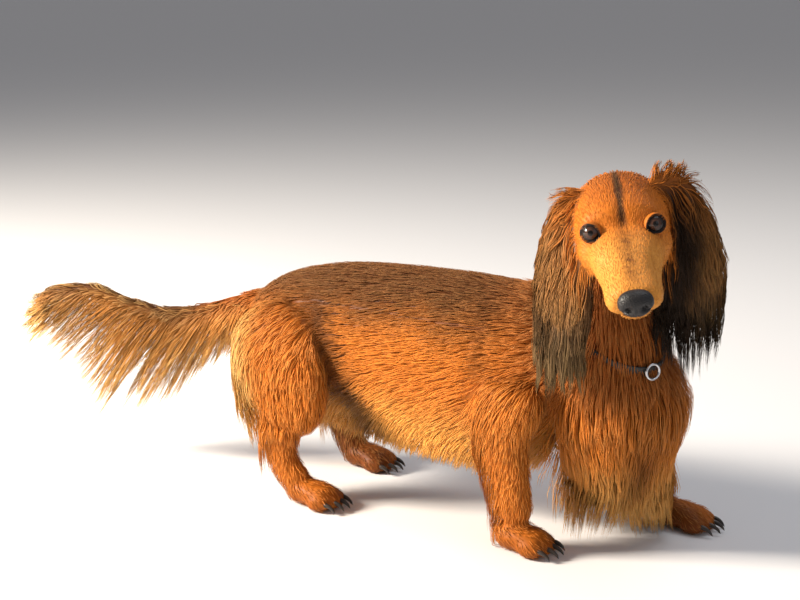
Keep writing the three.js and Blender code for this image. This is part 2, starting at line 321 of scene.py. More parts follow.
NECK = [
    (208, 3, 140, 58, 68, 66), (210, 4, 190, 54, 64, 57), (211, 6, 238, 43, 46, 41),
    (216, 8, 284, 35, 33, 31),
    (224, 12, 314, 29, 22, 24),
]
BREAST = [(230, 7, 178, 50, 44, 46), (230, 9, 142, 62, 62, 56), (229, 9, 108, 58, 56, 50),
          (229, 5, 84, 42, 40, 40)]
TAIL = [
    (-150, 0, 191, 15, 12, 14), (-188, -7, 183, 11, 9, 11), (-232, -21, 171, 8.5, 7, 9),
    (-274, -35, 165, 7, 6.5, 8),
    (-316, -49, 175, 6.5, 6, 7), (-354, -61, 188, 5.5, 5.5, 6), (-392, -71, 184, 4.5, 4.5, 5),
    (-410, -76, 181, 3.5, 3.5, 4),
]
CRANIUM = [
    (-90, 0, -4, 24, 16, 22), (-66, 0, -6, 38, 30, 30), (-34, 0, -8, 42, 38, 34), (-8, 0, -8, 39, 31, 32),
    (12, 0, -8, 31, 19, 26),
]
MUZZLE = [
    (-10, 0, -18, 36, 28, 33), (22, 0, -20, 31, 21.5, 29), (52, 0, -24, 25.5, 16.5, 22.5),
    (76, 0, -28.5, 23, 14.5, 17.5),
    (90, 0, -31, 19, 12, 13),
]
JAW = [(-32, 0, -40, 23, 10, 13), (10, 0, -42, 24, 9, 12), (50, 0, -43, 19, 7, 10),
       (72, 0, -43.5, 15, 5.5, 8),
       (81, 0, -42.5, 10, 5, 6)]
EARS = {
    -1: {"facing": np.array([0.05, -1, 0]),
         "steps": [(3, 7, 3, 13), (1, -8, -26, 21), (4, -20, -60, 27), (8, -28, -92, 27),
                   (10, -33, -118, 17)]},
    1: {"facing": np.array([0.75, -0.66, 0]),
        "steps": [(-5, -2, 5, 12), (13, 7, -22, 26), (21, 15, -60, 35), (24, 21, -94, 34),
                  (24, 24, -122, 21)]},
}
EAR_ROOT = {side: from_head([-44, side * 38, 21]) for side in (-1, 1)}
EAR_HALF_THICKNESS = 3.6
# The way along the floor that shows as right in the photo
IMAGE_RIGHT = np.array([0.85, 0.53, 0.0])


def ear_flesh(side):
    """Sections of an ear, from its root to its hem."""
    root = EAR_ROOT[side]
    return [(root[0] + x, root[1] + y, root[2] + z, wide, EAR_HALF_THICKNESS, EAR_HALF_THICKNESS)
            for x, y, z, wide in EARS[side]["steps"]]


def foreleg_flesh(side):
    """Sections of a foreleg, through shoulder, elbow and wrist."""
    (sx, sz), (ex, ez), (wx, wz) = FORE[side]["joints"]
    y = FORE[side]["y"]
    (ax, az), (bx, bz) = middle_of((sx, sz), (ex, ez)), middle_of((ex, ez), (wx, wz))
    return [(sx, y * 0.8, sz, 17, 30, 32), (ax, y * 0.92, az, 20, 30, 32), (ex, y * 0.97, ez, 17, 22, 26),
            (bx, y * 0.98, bz, 14, 17, 20), (wx, y, wz, 13.5, 16, 17)]


def thigh_flesh(side):
    """Sections of a thigh, from the hip to its hem of hair."""
    hip, mid, knee, hem = HIND[side]["thigh"]
    y = HIND[side]["y"]
    return [(hip[0], y * 0.7, hip[1], 15, 38, 32), (mid[0], y * 0.88, mid[1], 20, 54, 44),
            (knee[0], y * 0.94, knee[1], 20, 46, 34), (hem[0], y, hem[1], 15, 24, 21)]


def hock_flesh(side):
    """Sections of a hind leg below the thigh."""
    top, point, foot = HIND[side]["hock"]
    y = HIND[side]["y"]
    return [(top[0], y, top[1], 14, 19, 19), (point[0], y, point[1], 12.5, 14, 16),
            (foot[0], y, foot[1], 13, 15, 14)]


def paw_flesh(heel, tip, y):
    """The pad and four toes of one paw, each an oval body."""
    length = tip - heel
    pad = loft([(heel + 2, y, 13, 12, 11, 12), (heel + length * 0.35, y, 14, 16, 13, 13),
                (heel + length * 0.7, y, 12, 18, 11, 11),
                (tip - 10, y, 10, 15, 7, 9)], UPWARD, 14, 18, (0.2, 0.2))
    toes = [ball((tip - 14 - abs(place) * 4, y + place * 10, 8.5), (13, 5.6, 8)) for place in TOES]
    return [pad, *toes]


def flesh():
    """Every body of the flesh as (region, grid)."""
    head = [("head", loft(CRANIUM, UPWARD, ends=(0.12, 0.2))),
            ("head", loft(MUZZLE, UPWARD, ends=(0.12, 0.12))),
            ("jaw", loft(JAW, UPWARD, ends=(0.12, 0.12)))]
    head += [("head", ball((-14, side * 23, -24), (32, 17, 24))) for side in (-1, 1)]
    parts = [(region, from_head(grid.reshape(-1, 3)).reshape(grid.shape)) for region, grid in head]
    parts += [("trunk", loft(TRUNK, UPWARD, 40, 40, (0.12, 0.14))), ("neck", loft(NECK)),
              ("breast", loft(BREAST)),
              ("tail", loft(TAIL, UPWARD, 60, 16, (0.08, 0.05), hanging=True))]
    for side, ear in ((-1, "ear_right"), (1, "ear_left")):
        parts.append((ear, loft(ear_flesh(side), EARS[side]["facing"], 30, 24, (0.14, 0.2))))
        parts += [("foreleg", loft(foreleg_flesh(side), ends=(0.16, 0.12))),
                  ("thigh", loft(thigh_flesh(side), ends=(0.22, 0.16))),
                  ("hock", loft(hock_flesh(side), ends=(0.16, 0.16)))]
        for legs in (FORE, HIND):
            parts += [("paw", grid) for grid in paw_flesh(*legs[side]["paw"], legs[side]["y"])]
    return parts


# The skin: the flesh made one, smoothed, refined at the head and carved there
EYE_CENTRE = {side: np.array([EYE_FORWARD, side * EYE_OUT, 0]) for side in (-1, 1)}
LID_AXIS = {side: unit(np.array([0.86, side * 0.38, 0.30])) for side in (-1, 1)}


# Half angles of the lid opening as seen from the eye's centre, in degrees
OPENING_TO_NOSE, OPENING_OUTWARD, OPENING_UP, OPENING_DOWN, TEAR_CORNER = 51, 47, 46, 43, 8


def lid_spread(points, side):
    """How far a head point is from an eye's middle line, as a share of the lid opening: 1 on the lid
    margin. The opening is an oval with a corner towards the nose. Also the point's distance from the
    eye's centre."""
    axis = LID_AXIS[side]
    inward = unit(np.cross(UPWARD, axis)) * -side
    up = np.cross(axis, inward) * -side
    rel = points - EYE_CENTRE[side]
    direction = unit(rel)
    angle = np.degrees(np.arccos(np.clip(direction @ axis, -1, 1)))
    u, v = direction @ inward, direction @ up
    turn = np.arctan2(v, u)
    wide = np.where(u > 0, OPENING_TO_NOSE + TEAR_CORNER * np.maximum(0, np.cos(turn + 0.35)) ** 8,
                    OPENING_OUTWARD)
    tall = np.where(v > 0, OPENING_UP, OPENING_DOWN)
    opening = 1 / np.sqrt((np.cos(turn) / wide) ** 2 + (np.sin(turn) / tall) ** 2)
    return angle / opening, np.linalg.norm(rel, axis=1)


def lip_line(x):
    """Height of the mouth line at each place along the muzzle, in the head's axes."""
    return -42.5 - 3.2 * np.sin(np.clip((90 - x) / 85, 0, 1) * np.pi * 0.9)


# Hills on each side of the face in the head's axes, as height, place and widths: brow, outer brow,
# cheekbone, hollow beside the muzzle, front of the lip, back of the lip
FACE_BELLS = (
    (1.2, (8, 20, 19), (12, 11, 7)), (1.5, (-2, 33, 13), (12, 8, 7)), (2.6, (0, 36, -20), (18, 9, 8)),
    (-1.8, (46, 21, -15), (20, 8, 7)), (2.4, (74, 20, -36), (16, 9, 8)), (1.6, (34, 22, -38), (18, 9, 7)),
)


def carve_face(h, normals):
    """Moves head points along their normals by a sum of bells, and by the stop, the furrow, the mouth
    line and the groove under the nose. Then wraps the lids round the eyeballs: inside the opening a point
    sinks under the ball's surface, on the margin it stands just outside the ball, and further out it
    keeps its place again."""
    push = np.zeros(len(h))
    for side in (-1, 1):
        for height, (x, y, z), widths in FACE_BELLS:
            push += height * bell(h, (x, side * y, z), widths)
    push -= 2.6 * bell(h, (20, 0, 12), (12, 13, 9))
    furrow = ramp(h[:, 0], -60, -20) * (1 - ramp(h[:, 0], 6, 22))
    push -= 1.7 * np.exp(-((h[:, 1] / 4.5) ** 2)) * furrow * (h[:, 2] > 0)
    along = ramp(h[:, 0], 4, 14) * (1 - ramp(h[:, 0], 92, 96))
    push -= 2.8 * np.exp(-(((h[:, 2] - lip_line(h[:, 0])) / 1.7) ** 2)) * along
    philtrum = ramp(h[:, 0], 84, 90) * (1 - ramp(h[:, 2], -36, -32)) * ramp(h[:, 2], -44, -41)
    push -= 1.2 * np.exp(-((h[:, 1] / 1.6) ** 2)) * philtrum
    h = h + normals * push[:, None]
    for side in (-1, 1):
        spread, radius = lid_spread(h, side)
        rel = h - EYE_CENTRE[side]
        in_front = (rel @ LID_AXIS[side] > -2) & (radius < 30)
        rim = EYE_RADIUS + 1.5 + 0.5 * np.exp(-(((spread - 1.12) / 0.12) ** 2))
        lid = mix(rim, np.maximum(radius, EYE_RADIUS + 0.5), ramp(spread, 1.2, 1.75))
        wanted = mix(np.full(len(h), EYE_RADIUS - 3.2), lid, ramp(spread, 0.93, 1.05))
        wanted = mix(wanted, radius, ramp(radius, 12.5, 17))
        wanted = np.where(in_front & (spread < 2.2), wanted, radius)
        h = EYE_CENTRE[side] + rel * (wanted / np.maximum(radius, 1e-6))[:, None]
    return h


def refine(mesh, chosen):
    """Halves the edges whose two ends are both chosen, and fills the faces round them with triangles."""
    work = bmesh.new()
    work.from_mesh(mesh)
    work.edges.ensure_lookup_table()
    pairs = edges_of(mesh)
    picked = np.nonzero(chosen[pairs].all(1))[0]
    bmesh.ops.subdivide_edges(work, edges=[work.edges[i] for i in picked], cuts=1, use_grid_fill=True)
    bmesh.ops.triangulate(work, faces=[f for f in work.faces if len(f.verts) > 4])
    work.to_mesh(mesh)
    work.free()


def to_refine(h, step):
    """Which head points a step of refining picks: first the whole face, then the eyes' surroundings and
    the mouth line, and last the eyes' near surroundings."""
    face = (h[:, 0] > -34) & (np.abs(h[:, 1]) < 52) & (h[:, 2] > -62) & (h[:, 2] < 40)
    near_eye = np.minimum(*(np.linalg.norm(h - EYE_CENTRE[side], axis=1) for side in (-1, 1)))
    mouth = face & (np.abs(h[:, 2] - lip_line(h[:, 0])) < 5) & (h[:, 0] > 2)
    return (face, (near_eye < 21) | mouth, near_eye < 15)[step]


def set_vertices(mesh, points):
    """Moves the mesh's vertices to stance points."""
    mesh.vertices.foreach_set("co", to_frame(points).astype(np.float32).ravel())
    mesh.update()


def make_skin(parts):
    """One closed skin over all the flesh: voxels join the bodies, the relaxed surface blends them, and
    the face is refined and carved."""
    verts, faces = joined([shell(grid) for _, grid in parts])
    rough = solid("flesh", verts, faces)
    voxels = rough.modifiers.new("voxels", "REMESH")
    voxels.mode = "VOXEL"
    voxels.voxel_size = SKIN_VOXEL * MM
    evaluated = rough.evaluated_get(bpy.context.evaluated_depsgraph_get())
    mesh = bpy.data.meshes.new_from_object(evaluated)
    bpy.data.objects.remove(rough)
    mesh.name = "skin"
    set_vertices(mesh, relaxed(vertices_of(mesh), edges_of(mesh), 14))
    for step in range(3):
        refine(mesh, to_refine(in_head(vertices_of(mesh)), step))
        h = in_head(vertices_of(mesh))
        near = ramp(h[:, 0], -40, -25) * (np.abs(h[:, 1]) < 60) * (h[:, 2] > -66)
        set_vertices(mesh, relaxed(vertices_of(mesh), edges_of(mesh), 5, near))
    h = in_head(vertices_of(mesh))
    normals = normals_of(mesh) @ HEAD_AXES
    carved = carve_face(h, normals)
    moved = np.where(((h[:, 0] > -75) & (np.abs(h[:, 1]) < 52) & (h[:, 2] > -64))[:, None], carved, h)
    set_vertices(mesh, from_head(moved))
    mesh.shade_smooth()
    return new_object("skin", mesh)


# How the hair lies and how long it is, region by region. Every comb takes points and normals, and every
# paint takes points.
NUMBERS = ("length", "depth", "width", "hang", "hold", "contrast", "weight")


def numbers(n, length, depth, width, hang, hold, contrast, weight=1.0):
    """The rows of NUMBERS, each given as one value or one per point."""
    return np.stack([np.broadcast_to(np.asarray(v, float), n) for v in
                     (length, depth, width, hang, hold, contrast, weight)], 1)


def ways(n, x, y, z):
    """Directions from three values, each one number or one per point."""
    return np.stack([np.broadcast_to(np.asarray(v, float), n) for v in (x, y, z)], 1)


def comb_trunk(p, normal):
    """Back along the spine, turning down over the lower flank and the rump, and hanging under the
    belly."""
    n, x, z = len(p), p[:, 0], p[:, 2]
    low, rump, under = ramp(-z, -175, -95), ramp(-x, 100, 168), ramp(-normal[:, 2], 0.3, 0.9)
    lie = mix(ways(n, -1, 0, -0.1), ways(n, -0.85, 0, -0.62), low)
    lie = mix(lie, ways(n, -0.5, 0, -1), rump)
    return lie, numbers(n, 27 + 10 * low + 12 * under, 3.2 + 2.4 * low, 1.05, 0.08 + 0.5 * under,
                        1 - 0.85 * under, 0.10,
                        1 + 0.3 * under)


def comb_neck(p, normal):
    """Down and back over the shoulder, straight down at the throat."""
    n = len(p)
    front, nape = ramp(normal[:, 0], 0.0, 0.6), ramp(-normal[:, 0], 0.2, 0.8)
    lie = mix(ways(n, -0.6, 0, -1), ways(n, 0.08, 0, -1), front)
    lie = mix(lie, ways(n, -0.9, 0, -0.7), nape)
    return lie, numbers(n, 40 + 8 * front, 8.5 + 3 * front, 1.25, 0.2 + 0.2 * front, 0.85 - 0.35 * front,
                        0.13)


def comb_breast(p, normal):
    """Long locks straight down, a little outwards."""
    n, y, z = len(p), p[:, 1], p[:, 2]
    low = ramp(-z, -150, -90)
    lie = ways(n, 0.1, 0.1 * np.sign(y), -1)
    return lie, numbers(n, 56 + 30 * low, 12, 1.35, 0.4 + 0.3 * low, 0.5 - 0.4 * low, 0.17, 1 + 0.7 * low)


def comb_head(p, normal):
    """Short hair from the nose back, down over the cheeks, longer towards ears and neck, and none on the
    lids."""
    n, h = len(p), in_head(p)
    rear, cheek = ramp(-h[:, 0], -20, 50), ramp(-h[:, 2], 0, 34) * ramp(-h[:, 0], -60, 10)
    lie = mix(ways(n, -1, 0, 0.12), ways(n, -0.9, 0.1 * np.sign(h[:, 1]), -0.35), rear)
    lie = mix(lie, ways(n, -0.8, 0, -0.7), cheek) @ HEAD_AXES.T
    nape = ramp(-h[:, 0], 42, 78)
    clear = np.ones(n)
    for side in (-1, 1):
        spread, radius = lid_spread(h, side)
        clear = np.minimum(clear, np.maximum(ramp(spread, 1.15, 1.45), ramp(radius, 12.5, 16)))
    return lie, numbers(n, 5.2 + 5.5 * rear + 17 * nape + 3 * cheek,
                        clear * (0.55 + 0.6 * rear) + 4.5 * nape + 0.5 * cheek,
                        0.52 + 0.25 * rear + 0.3 * nape, 0.0, 1.0, 0.07 + 0.05 * nape,
                        clear * (1.15 - 0.3 * nape))


def comb_jaw(p, normal):
    """Short hair back and a little down along the jaw, longer towards the throat."""
    n, h = len(p), in_head(p)
    rear = ramp(-h[:, 0], -60, 20)
    lie = ways(n, -1, 0, -0.3) @ HEAD_AXES.T
    return lie, numbers(n, 5 + 12 * rear, 1.2 + 2.6 * rear, 0.7 + 0.4 * rear, 0.2 * rear, 0.9, 0.12)


def comb_ear(side):
    """Down the flap, fanned out across it and longest at its hem, with a spray standing up and out at its
    root."""
    spray_way = {-1: np.array([-0.85, -0.45, 0.22]), 1: np.array([0.1, 0.15, 1.0])}[side]
    down_way = {-1: np.array([-0.08, -0.10, -1]), 1: np.array([0.16, 0.14, -1])}[side]

    def comb(p, normal):
        """The comb of this ear."""
        n = len(p)
        down = EAR_ROOT[side][2] - p[:, 2]
        top, hem = 1 - ramp(down, -2, 12), ramp(down, 50, 110)
        flap = spline(ear_flesh(side), np.clip(down / 122, 0, 1))
        across = ((p - flap[:, :3]) @ IMAGE_RIGHT / flap[:, 3])[:, None]
        fan = 0.3 * across * IMAGE_RIGHT * (1 - ramp(down, 70, 130))[:, None]
        lie = mix(down_way + fan, spray_way + 0.3 * across * IMAGE_RIGHT, top)
        return lie, numbers(n, 44 + 24 * hem - 26 * top, 3.6 + 1.5 * top, 1.05,
                            (0.25 + 0.2 * hem) * (1 - top),
                            0.6 - 0.55 * np.maximum(top, hem), 0.5, 1 + 0.5 * hem)

    return comb


def comb_foreleg(p, normal):
    """Short and downwards in front, feathered backwards behind."""
    n, z = len(p), p[:, 2]
    rear, upper = ramp(-normal[:, 0], 0.15, 0.8), ramp(z, 90, 150)
    lie = mix(ways(n, -0.05, 0, -1), ways(n, -0.7, 0, -1), rear)
    lie = mix(lie, ways(n, -0.5, 0, -1), upper)
    return lie, numbers(n, 13 + 34 * rear + 12 * upper, 2.8 + 4 * rear + 2.5 * upper, 1.0 + 0.2 * upper,
                        0.1 + 0.45 * rear, 0.95 - 0.65 * rear, 0.12)


def comb_thigh(p, normal):
    """Down and back at the hip, straight down lower, and long breeches behind."""
    n, z = len(p), p[:, 2]
    rear, hip = ramp(-normal[:, 0], 0.1, 0.75), ramp(z, 120, 185)
    lie = mix(ways(n, 0.05, 0, -1), ways(n, -0.75, 0, -1), hip)
    lie = mix(lie, ways(n, -0.25, 0, -1), rear)
    return lie, numbers(n, 26 + 46 * rear, 5 + 6 * rear, 1.25, 0.12 + 0.5 * rear, 0.9 - 0.75 * rear, 0.13,
                        1 + 0.6 * rear)


def comb_hock(p, normal):
    """Straight down, a little longer behind."""
    n = len(p)
    rear = ramp(-normal[:, 0], 0.2, 0.8)
    return ways(n, 0.0, 0, -1), numbers(n, 11 + 14 * rear, 2.5 + 2 * rear, 0.95, 0.1 + 0.3 * rear,
                                        0.95 - 0.4 * rear, 0.12)


def comb_paw(p, normal):
    """Forward and down over the toes."""
    n = len(p)
    return ways(n, 0.8, 0, -0.5), numbers(n, 8, 1.8, 0.8, 0.1, 0.9, 0.12)


# The tail's front end and its length along X, and the feather's length at even places along it
TAIL_START, TAIL_LENGTH = -150, 276
TAIL_FEATHER = [[26], [60], [118], [146], [130], [106], [84], [52]]


def comb_tail(p, normal):
    """Along the tail above it. Below it the feather starts down and back, and leans more along towards
    the tip."""
    n = len(p)
    f = np.clip((TAIL_START - p[:, 0]) / TAIL_LENGTH, 0, 1)
    under = ramp(-normal[:, 2], -0.4, 0.2)
    along = unit(np.stack([-np.ones(n), -0.24 + 0 * f, 0.35 * np.sin((f - 0.45) * 6)], 1))
    down = unit(np.stack([-0.45 - 0.5 * f, -0.12 + 0 * f, -0.9 + 0.25 * f], 1))
    feather = spline(TAIL_FEATHER, f)[:, 0]
    return mix(along, down, under), numbers(n, 26 + (feather - 26) * under, 3.5, 1.25,
                                            0.05 + 0.25 * under * (1 - f),
                                            0.85 - 0.82 * under, 0.16, 1 + 1.8 * under)


COMBS = {
    "trunk": comb_trunk, "neck": comb_neck, "breast": comb_breast, "head": comb_head, "jaw": comb_jaw,
    "ear_right": comb_ear(-1), "ear_left": comb_ear(1), "foreleg": comb_foreleg, "thigh": comb_thigh,
    "hock": comb_hock, "paw": comb_paw, "tail": comb_tail,
}


# Markings and painted shade: hair colours as painted values, and where each lies
def paint(red, green, blue):
    """An sRGB colour of 0 to 255 as linear light."""
    c = np.array([red, green, blue]) / 255
    return np.where(c > 0.04045, ((c + 0.055) / 1.055) ** 2.4, c / 12.92)


MAHOGANY, RUST, ORANGE = paint(100, 52, 26), paint(164, 84, 30), paint(212, 118, 36)
# UMBER is painted shade in the folds and the breast parting, and the real dark of stripe, mouth line and tail
# top
GOLD, STRAW, UMBER, COAL = paint(238, 168, 78), paint(252, 208, 132), paint(62, 38, 28), paint(24, 20, 21)
# INNER_LEG is the brown of the painted shade inside the legs, and the real brown of the nose bridge
EAR_BROWN, EAR_GREY, INNER_LEG = paint(146, 94, 50), paint(82, 64, 48), paint(104, 56, 26)


def shadows(p):
    """Painted shade, from 0 to 1, in the fold that slants down in front of the thigh and the crease behind
    the shoulder."""
    x, y, z = p.T
    fold = np.exp(-(((x + 34 - 0.4 * (160 - z) + 3 * mottle(p, 30, 11)) / 20) ** 2)) * ramp(z, 60, 90)
    crease = np.exp(-(((x - 141 + 2 * mottle(p, 30, 12)) / 6) ** 2)) * ramp(z, 110, 150) * 0.55
    return np.maximum(0.85 * fold * (1 - ramp(z, 195, 222)),
                      crease * (1 - ramp(z, 205, 235))) * (np.abs(y) > 20)


def paint_trunk(p):
    """Mahogany back, orange flank, golden belly, rust before the shoulder, umber painted shade in the folds.
    """
    x, z = p[:, 0], p[:, 2]
    wander = 9 * mottle(p, 70, 3)
    c = mix(ORANGE, MAHOGANY, ramp(z + wander, 172, 226))
    c = mix(c, GOLD, 0.85 * ramp(-z + wander, -150, -96))
    c = mix(c, RUST, 0.6 * ramp(x, 110, 190) * ramp(z, 100, 150))
    # painted shade in the thigh fold and the crease behind the shoulder, with no pale tips there
    dark = shadows(p)
    return mix(c, UMBER, dark), (0.12 + 0.2 * ramp(-z, -130, -85)) * (1 - dark)


def paint_neck(p):
    """Rust, darker at the nape and more orange low down."""
    c = mix(RUST, MAHOGANY, 0.7 * ramp(p[:, 2] + 8 * mottle(p, 60, 4), 200, 250) * ramp(-p[:, 0], -230, -190))
    c = mix(c, ORANGE, 0.8 * ramp(-p[:, 2], -190, -130))
    # umber painted shade where the thigh fold and the shoulder crease reach the neck
    return mix(c, UMBER, shadows(p)), np.full(len(p), 0.15)


def paint_breast(p):
    """Rust to gold downwards, with umber painted shade in the parting in front."""
    z = p[:, 2] + 8 * mottle(p, 50, 5)
    c = mix(RUST, ORANGE, ramp(-z, -190, -130))
    # painted shade in the parting between the breast locks, which also keeps pale tips out of it
    gap = bell(p, (270, -24, 114), (44, 17, 34))
    c = mix(c, GOLD, 0.7 * ramp(-z, -125, -85))
    return mix(c, UMBER, 0.75 * gap), (0.2 + 0.55 * ramp(-z, -130, -80)) * (1 - 0.8 * gap)


def paint_head(p):
    """Gold muzzle, rust crown with a dark stripe, brown bridge of the nose, dark lids and mouth line."""
    h = in_head(p)
    x, y, z = h.T
    c = mix(ORANGE, GOLD, 0.66 * ramp(x - 0.3 * z, -6, 44))
    c = mix(c, RUST, 0.75 * ramp(z, 8, 34) * ramp(-x, -10, 30))
    bridge = np.exp(-((y / (6.5 + 2 * mottle(p, 12, 6))) ** 2)) * ramp(z, -24, -8) * ramp(x, 8, 22)
    c = mix(c, INNER_LEG, 0.8 * bridge * (0.75 + 0.5 * mottle(p, 5, 7)))
    stripe_half = 3.4 + 1.1 * mottle(p, 18, 8)
    stripe = np.exp(-(((y - 1.0) / stripe_half) ** 4)) * ramp(x, -70, -56) * (1 - ramp(x, 2, 16)) * (z > 0)
    c = mix(c, UMBER, 0.95 * stripe)
    for side in (-1, 1):
        c = mix(c, GOLD, 0.7 * bell(h, (14, side * 16, 17), (8, 6, 7)))
        spread, radius = lid_spread(h, side)
        near = 1 - ramp(radius, 11.6, 13.2)
        c = mix(c, mix(RUST, UMBER, 0.4 * np.ones(len(p))),
                0.35 * np.exp(-(((spread - 1.3) / 0.22) ** 2)) * near)
        c = mix(c, COAL, (1 - ramp(spread, 1.07, 1.2)) * near)
    mouth = np.exp(-(((z - lip_line(x)) / 2.2) ** 2)) * ramp(x, 2, 14)
    c = mix(c, UMBER, 0.8 * mouth)
    return c, np.full(len(p), 0.12)


def paint_ear(side):
    """Brown above, grey below; painted shade: black towards the face, the left ear dimmed and black low down.
    """
    def marking(p):
        """The colours of this ear."""
        rel = p - EAR_ROOT[side]
        down, across = -rel[:, 2], rel @ unit(np.array([0.66, 0.75, 0.0]))
        low = ramp(down + 10 * mottle(p, 40, 9), 40, 110)
        # the left ear, on the shaded side, is painted darker all over: painted shade
        c = mix(EAR_BROWN, EAR_GREY, low) * (1 if side < 0 else 0.72)
        c = mix(c, ORANGE, 0.7 * (1 - ramp(down, 0, 22)))
        # black painted shade on the side towards the face; low down on the left ear it also deepens the real
        # grey hem
        if side < 0:
            dark = 0.75 * ramp(across + 5 * mottle(p, 30, 10), 0, 18)
        else:
            dark = 0.97 * np.maximum(1 - ramp(across + 6 * mottle(p, 30, 10), 22, 44),
                                     ramp(down, 76, 116)) * ramp(down, 0, 14)
        return mix(c, COAL, dark), 0.14 * (1 - dark)

    return marking


def paint_leg(p):
    """Orange outside, brown painted shade on the inner side, rust at the foot."""
    # painted shade on the inner side of each leg, facing the other legs
    inner = ramp(-np.abs(p[:, 1]), -LEG_SPREAD, -52)
    c = mix(ORANGE, INNER_LEG, 0.85 * inner)
    return mix(c, RUST, 0.5 * ramp(-p[:, 2], -26, -6)), np.full(len(p), 0.22)


def paint_thigh(p):
    """Orange and rust, pale gold behind partly as painted backlight, brown painted shade inside and in the
    fold.
    """
    x, y, z = p.T
    c = mix(ORANGE, RUST, 0.4 * ramp(z, 150, 200))
    c = mix(c, GOLD, 0.9 * ramp(-x, 112, 145))
    # straw behind: the breeches' paler hair, brightened further as painted backlight
    c = mix(c, STRAW, 0.6 * ramp(-x, 120, 152))
    # brown painted shade on the inner side of the thigh
    c = mix(c, INNER_LEG, 0.8 * ramp(-np.abs(y), -58, -44))
    # umber painted shade of the fold in front of the thigh, where it reaches
    return mix(c, UMBER, shadows(p)), 0.2 + 0.65 * ramp(-x, 112, 145)


def paint_tail(p):
    """Dark above the tail, gold in the feather below it."""
    f = np.clip((TAIL_START - p[:, 0]) / TAIL_LENGTH, 0, 1)
    core = spline(np.array(TAIL)[:, :3], f)
    above, crest = ramp(p[:, 2] - core[:, 2], -5, 1), ramp(p[:, 2] - core[:, 2], -1, 4)
    c = mix(RUST, UMBER, 0.85 * above * ramp(f, 0.15, 0.35) * (1 - 0.5 * ramp(f, 0.92, 1)))
    # the feather's pale tips are partly its own paler hair, partly painted light glowing through it
    return mix(c, GOLD, 0.5 * (1 - above)), 0.95 - 0.9 * crest


PAINTS = {
    "trunk": paint_trunk, "neck": paint_neck, "breast": paint_breast, "head": paint_head, "jaw": paint_head,
    "ear_right": paint_ear(-1), "ear_left": paint_ear(1), "foreleg": paint_leg, "thigh": paint_thigh,
    "hock": paint_leg, "paw": paint_leg, "tail": paint_tail,
}


def regions_of(points, parts):
    """The region of the flesh whose surface is nearest to each point."""
    samples = np.vstack([grid.reshape(-1, 3) for _, grid in parts])
    codes = np.concatenate([np.full(grid.shape[0] * grid.shape[1], CODE[name]) for name, grid in parts])
    return codes[nearest_index(points, samples)]


def dress(skin, parts):
    """Each skin point's region, lie, numbers and colours, the last column of colours being how pale tips
    get. All are blended across the regions' borders, less so on tail and ears, and no colours on the
    face."""
    mesh = skin.data
    points, normal, edges = vertices_of(mesh), normals_of(mesh), edges_of(mesh)
    region = regions_of(points, parts)
    lie, sizes, colour = (np.zeros((len(points), wide)) for wide in (3, len(NUMBERS), 4))
    for name in REGIONS:
        here = region == CODE[name]
        if not here.any():
            continue
        lie[here], sizes[here] = COMBS[name](points[here], normal[here])
        colour[here, :3], colour[here, 3] = PAINTS[name](points[here])
    kept = np.isin(region, [CODE["tail"], CODE["ear_right"], CODE["ear_left"]])
    share = np.where(kept, 0.25, 1.0)
    lie = unit(smoothed(unit(lie), edges, 10, where=share))
    sizes = smoothed(sizes, edges, 8, where=share)
    face = (region == CODE["head"]) | (region == CODE["jaw"])
    colour = smoothed(colour, edges, 10, where=np.where(face, 0.0, 1.0))
    return {"region": region, "lie": lie, "sizes": sizes, "colour": colour}


def skin_probe(skin):
    """A node tree that gives every point of a mesh the nearest point of the skin, with its normal and
    lie."""
    tree = bpy.data.node_groups.new("nearest skin", "GeometryNodeTree")
    tree.interface.new_socket("Geometry", in_out="INPUT", socket_type="NodeSocketGeometry")
    tree.interface.new_socket("Geometry", in_out="OUTPUT", socket_type="NodeSocketGeometry")
    start, end = tree.nodes.new("NodeGroupInput"), tree.nodes.new("NodeGroupOutput")
    body = tree.nodes.new("GeometryNodeObjectInfo")
    body.inputs["Object"].default_value = skin
    lie = tree.nodes.new("GeometryNodeInputNamedAttribute")
    lie.data_type = "FLOAT_VECTOR"
    lie.inputs["Name"].default_value = "lie"
    fields = {"near": tree.nodes.new("GeometryNodeInputPosition").outputs[0],
              "out": tree.nodes.new("GeometryNodeInputNormal").outputs[0], "lie": lie.outputs[0]}
    here = start.outputs[0]
    for name, field in fields.items():
        sample = tree.nodes.new("GeometryNodeSampleNearestSurface")
        kept = tree.nodes.new("GeometryNodeStoreNamedAttribute")
        sample.data_type = kept.data_type = "FLOAT_VECTOR"
        kept.inputs["Name"].default_value = name
        tree.links.new(body.outputs["Geometry"], sample.inputs[0])
        tree.links.new(field, next(s for s in sample.inputs if s.name == "Value" and s.enabled))
        tree.links.new(here, kept.inputs["Geometry"])
        tree.links.new(next(s for s in sample.outputs if s.name == "Value" and s.enabled),
                       next(s for s in kept.inputs if s.name == "Value" and s.enabled))
        here = kept.outputs[0]
    tree.links.new(here, end.inputs[0])
    return tree


def probe(points, tree):
    """The nearest skin points, their normals and lies, for stance points, by the node tree."""
    mesh = bpy.data.meshes.new("probe")
    mesh.vertices.add(len(points))
    mesh.vertices.foreach_set("co", to_frame(points).astype(np.float32).ravel())
    piece = new_object("probe", mesh)
    piece.modifiers.new("probe", "NODES").node_group = tree
    found = piece.evaluated_get(bpy.context.evaluated_depsgraph_get()).data
    answers = []
    for name in ("near", "out", "lie"):
        flat = np.empty(len(points) * 3, np.float32)
        found.attributes[name].data.foreach_get("vector", flat)
        answers.append(flat.reshape(-1, 3).astype(float))
    bpy.data.objects.remove(piece)
    bpy.data.meshes.remove(mesh)
    return to_stance(answers[0]), unit(answers[1]), unit(answers[2])


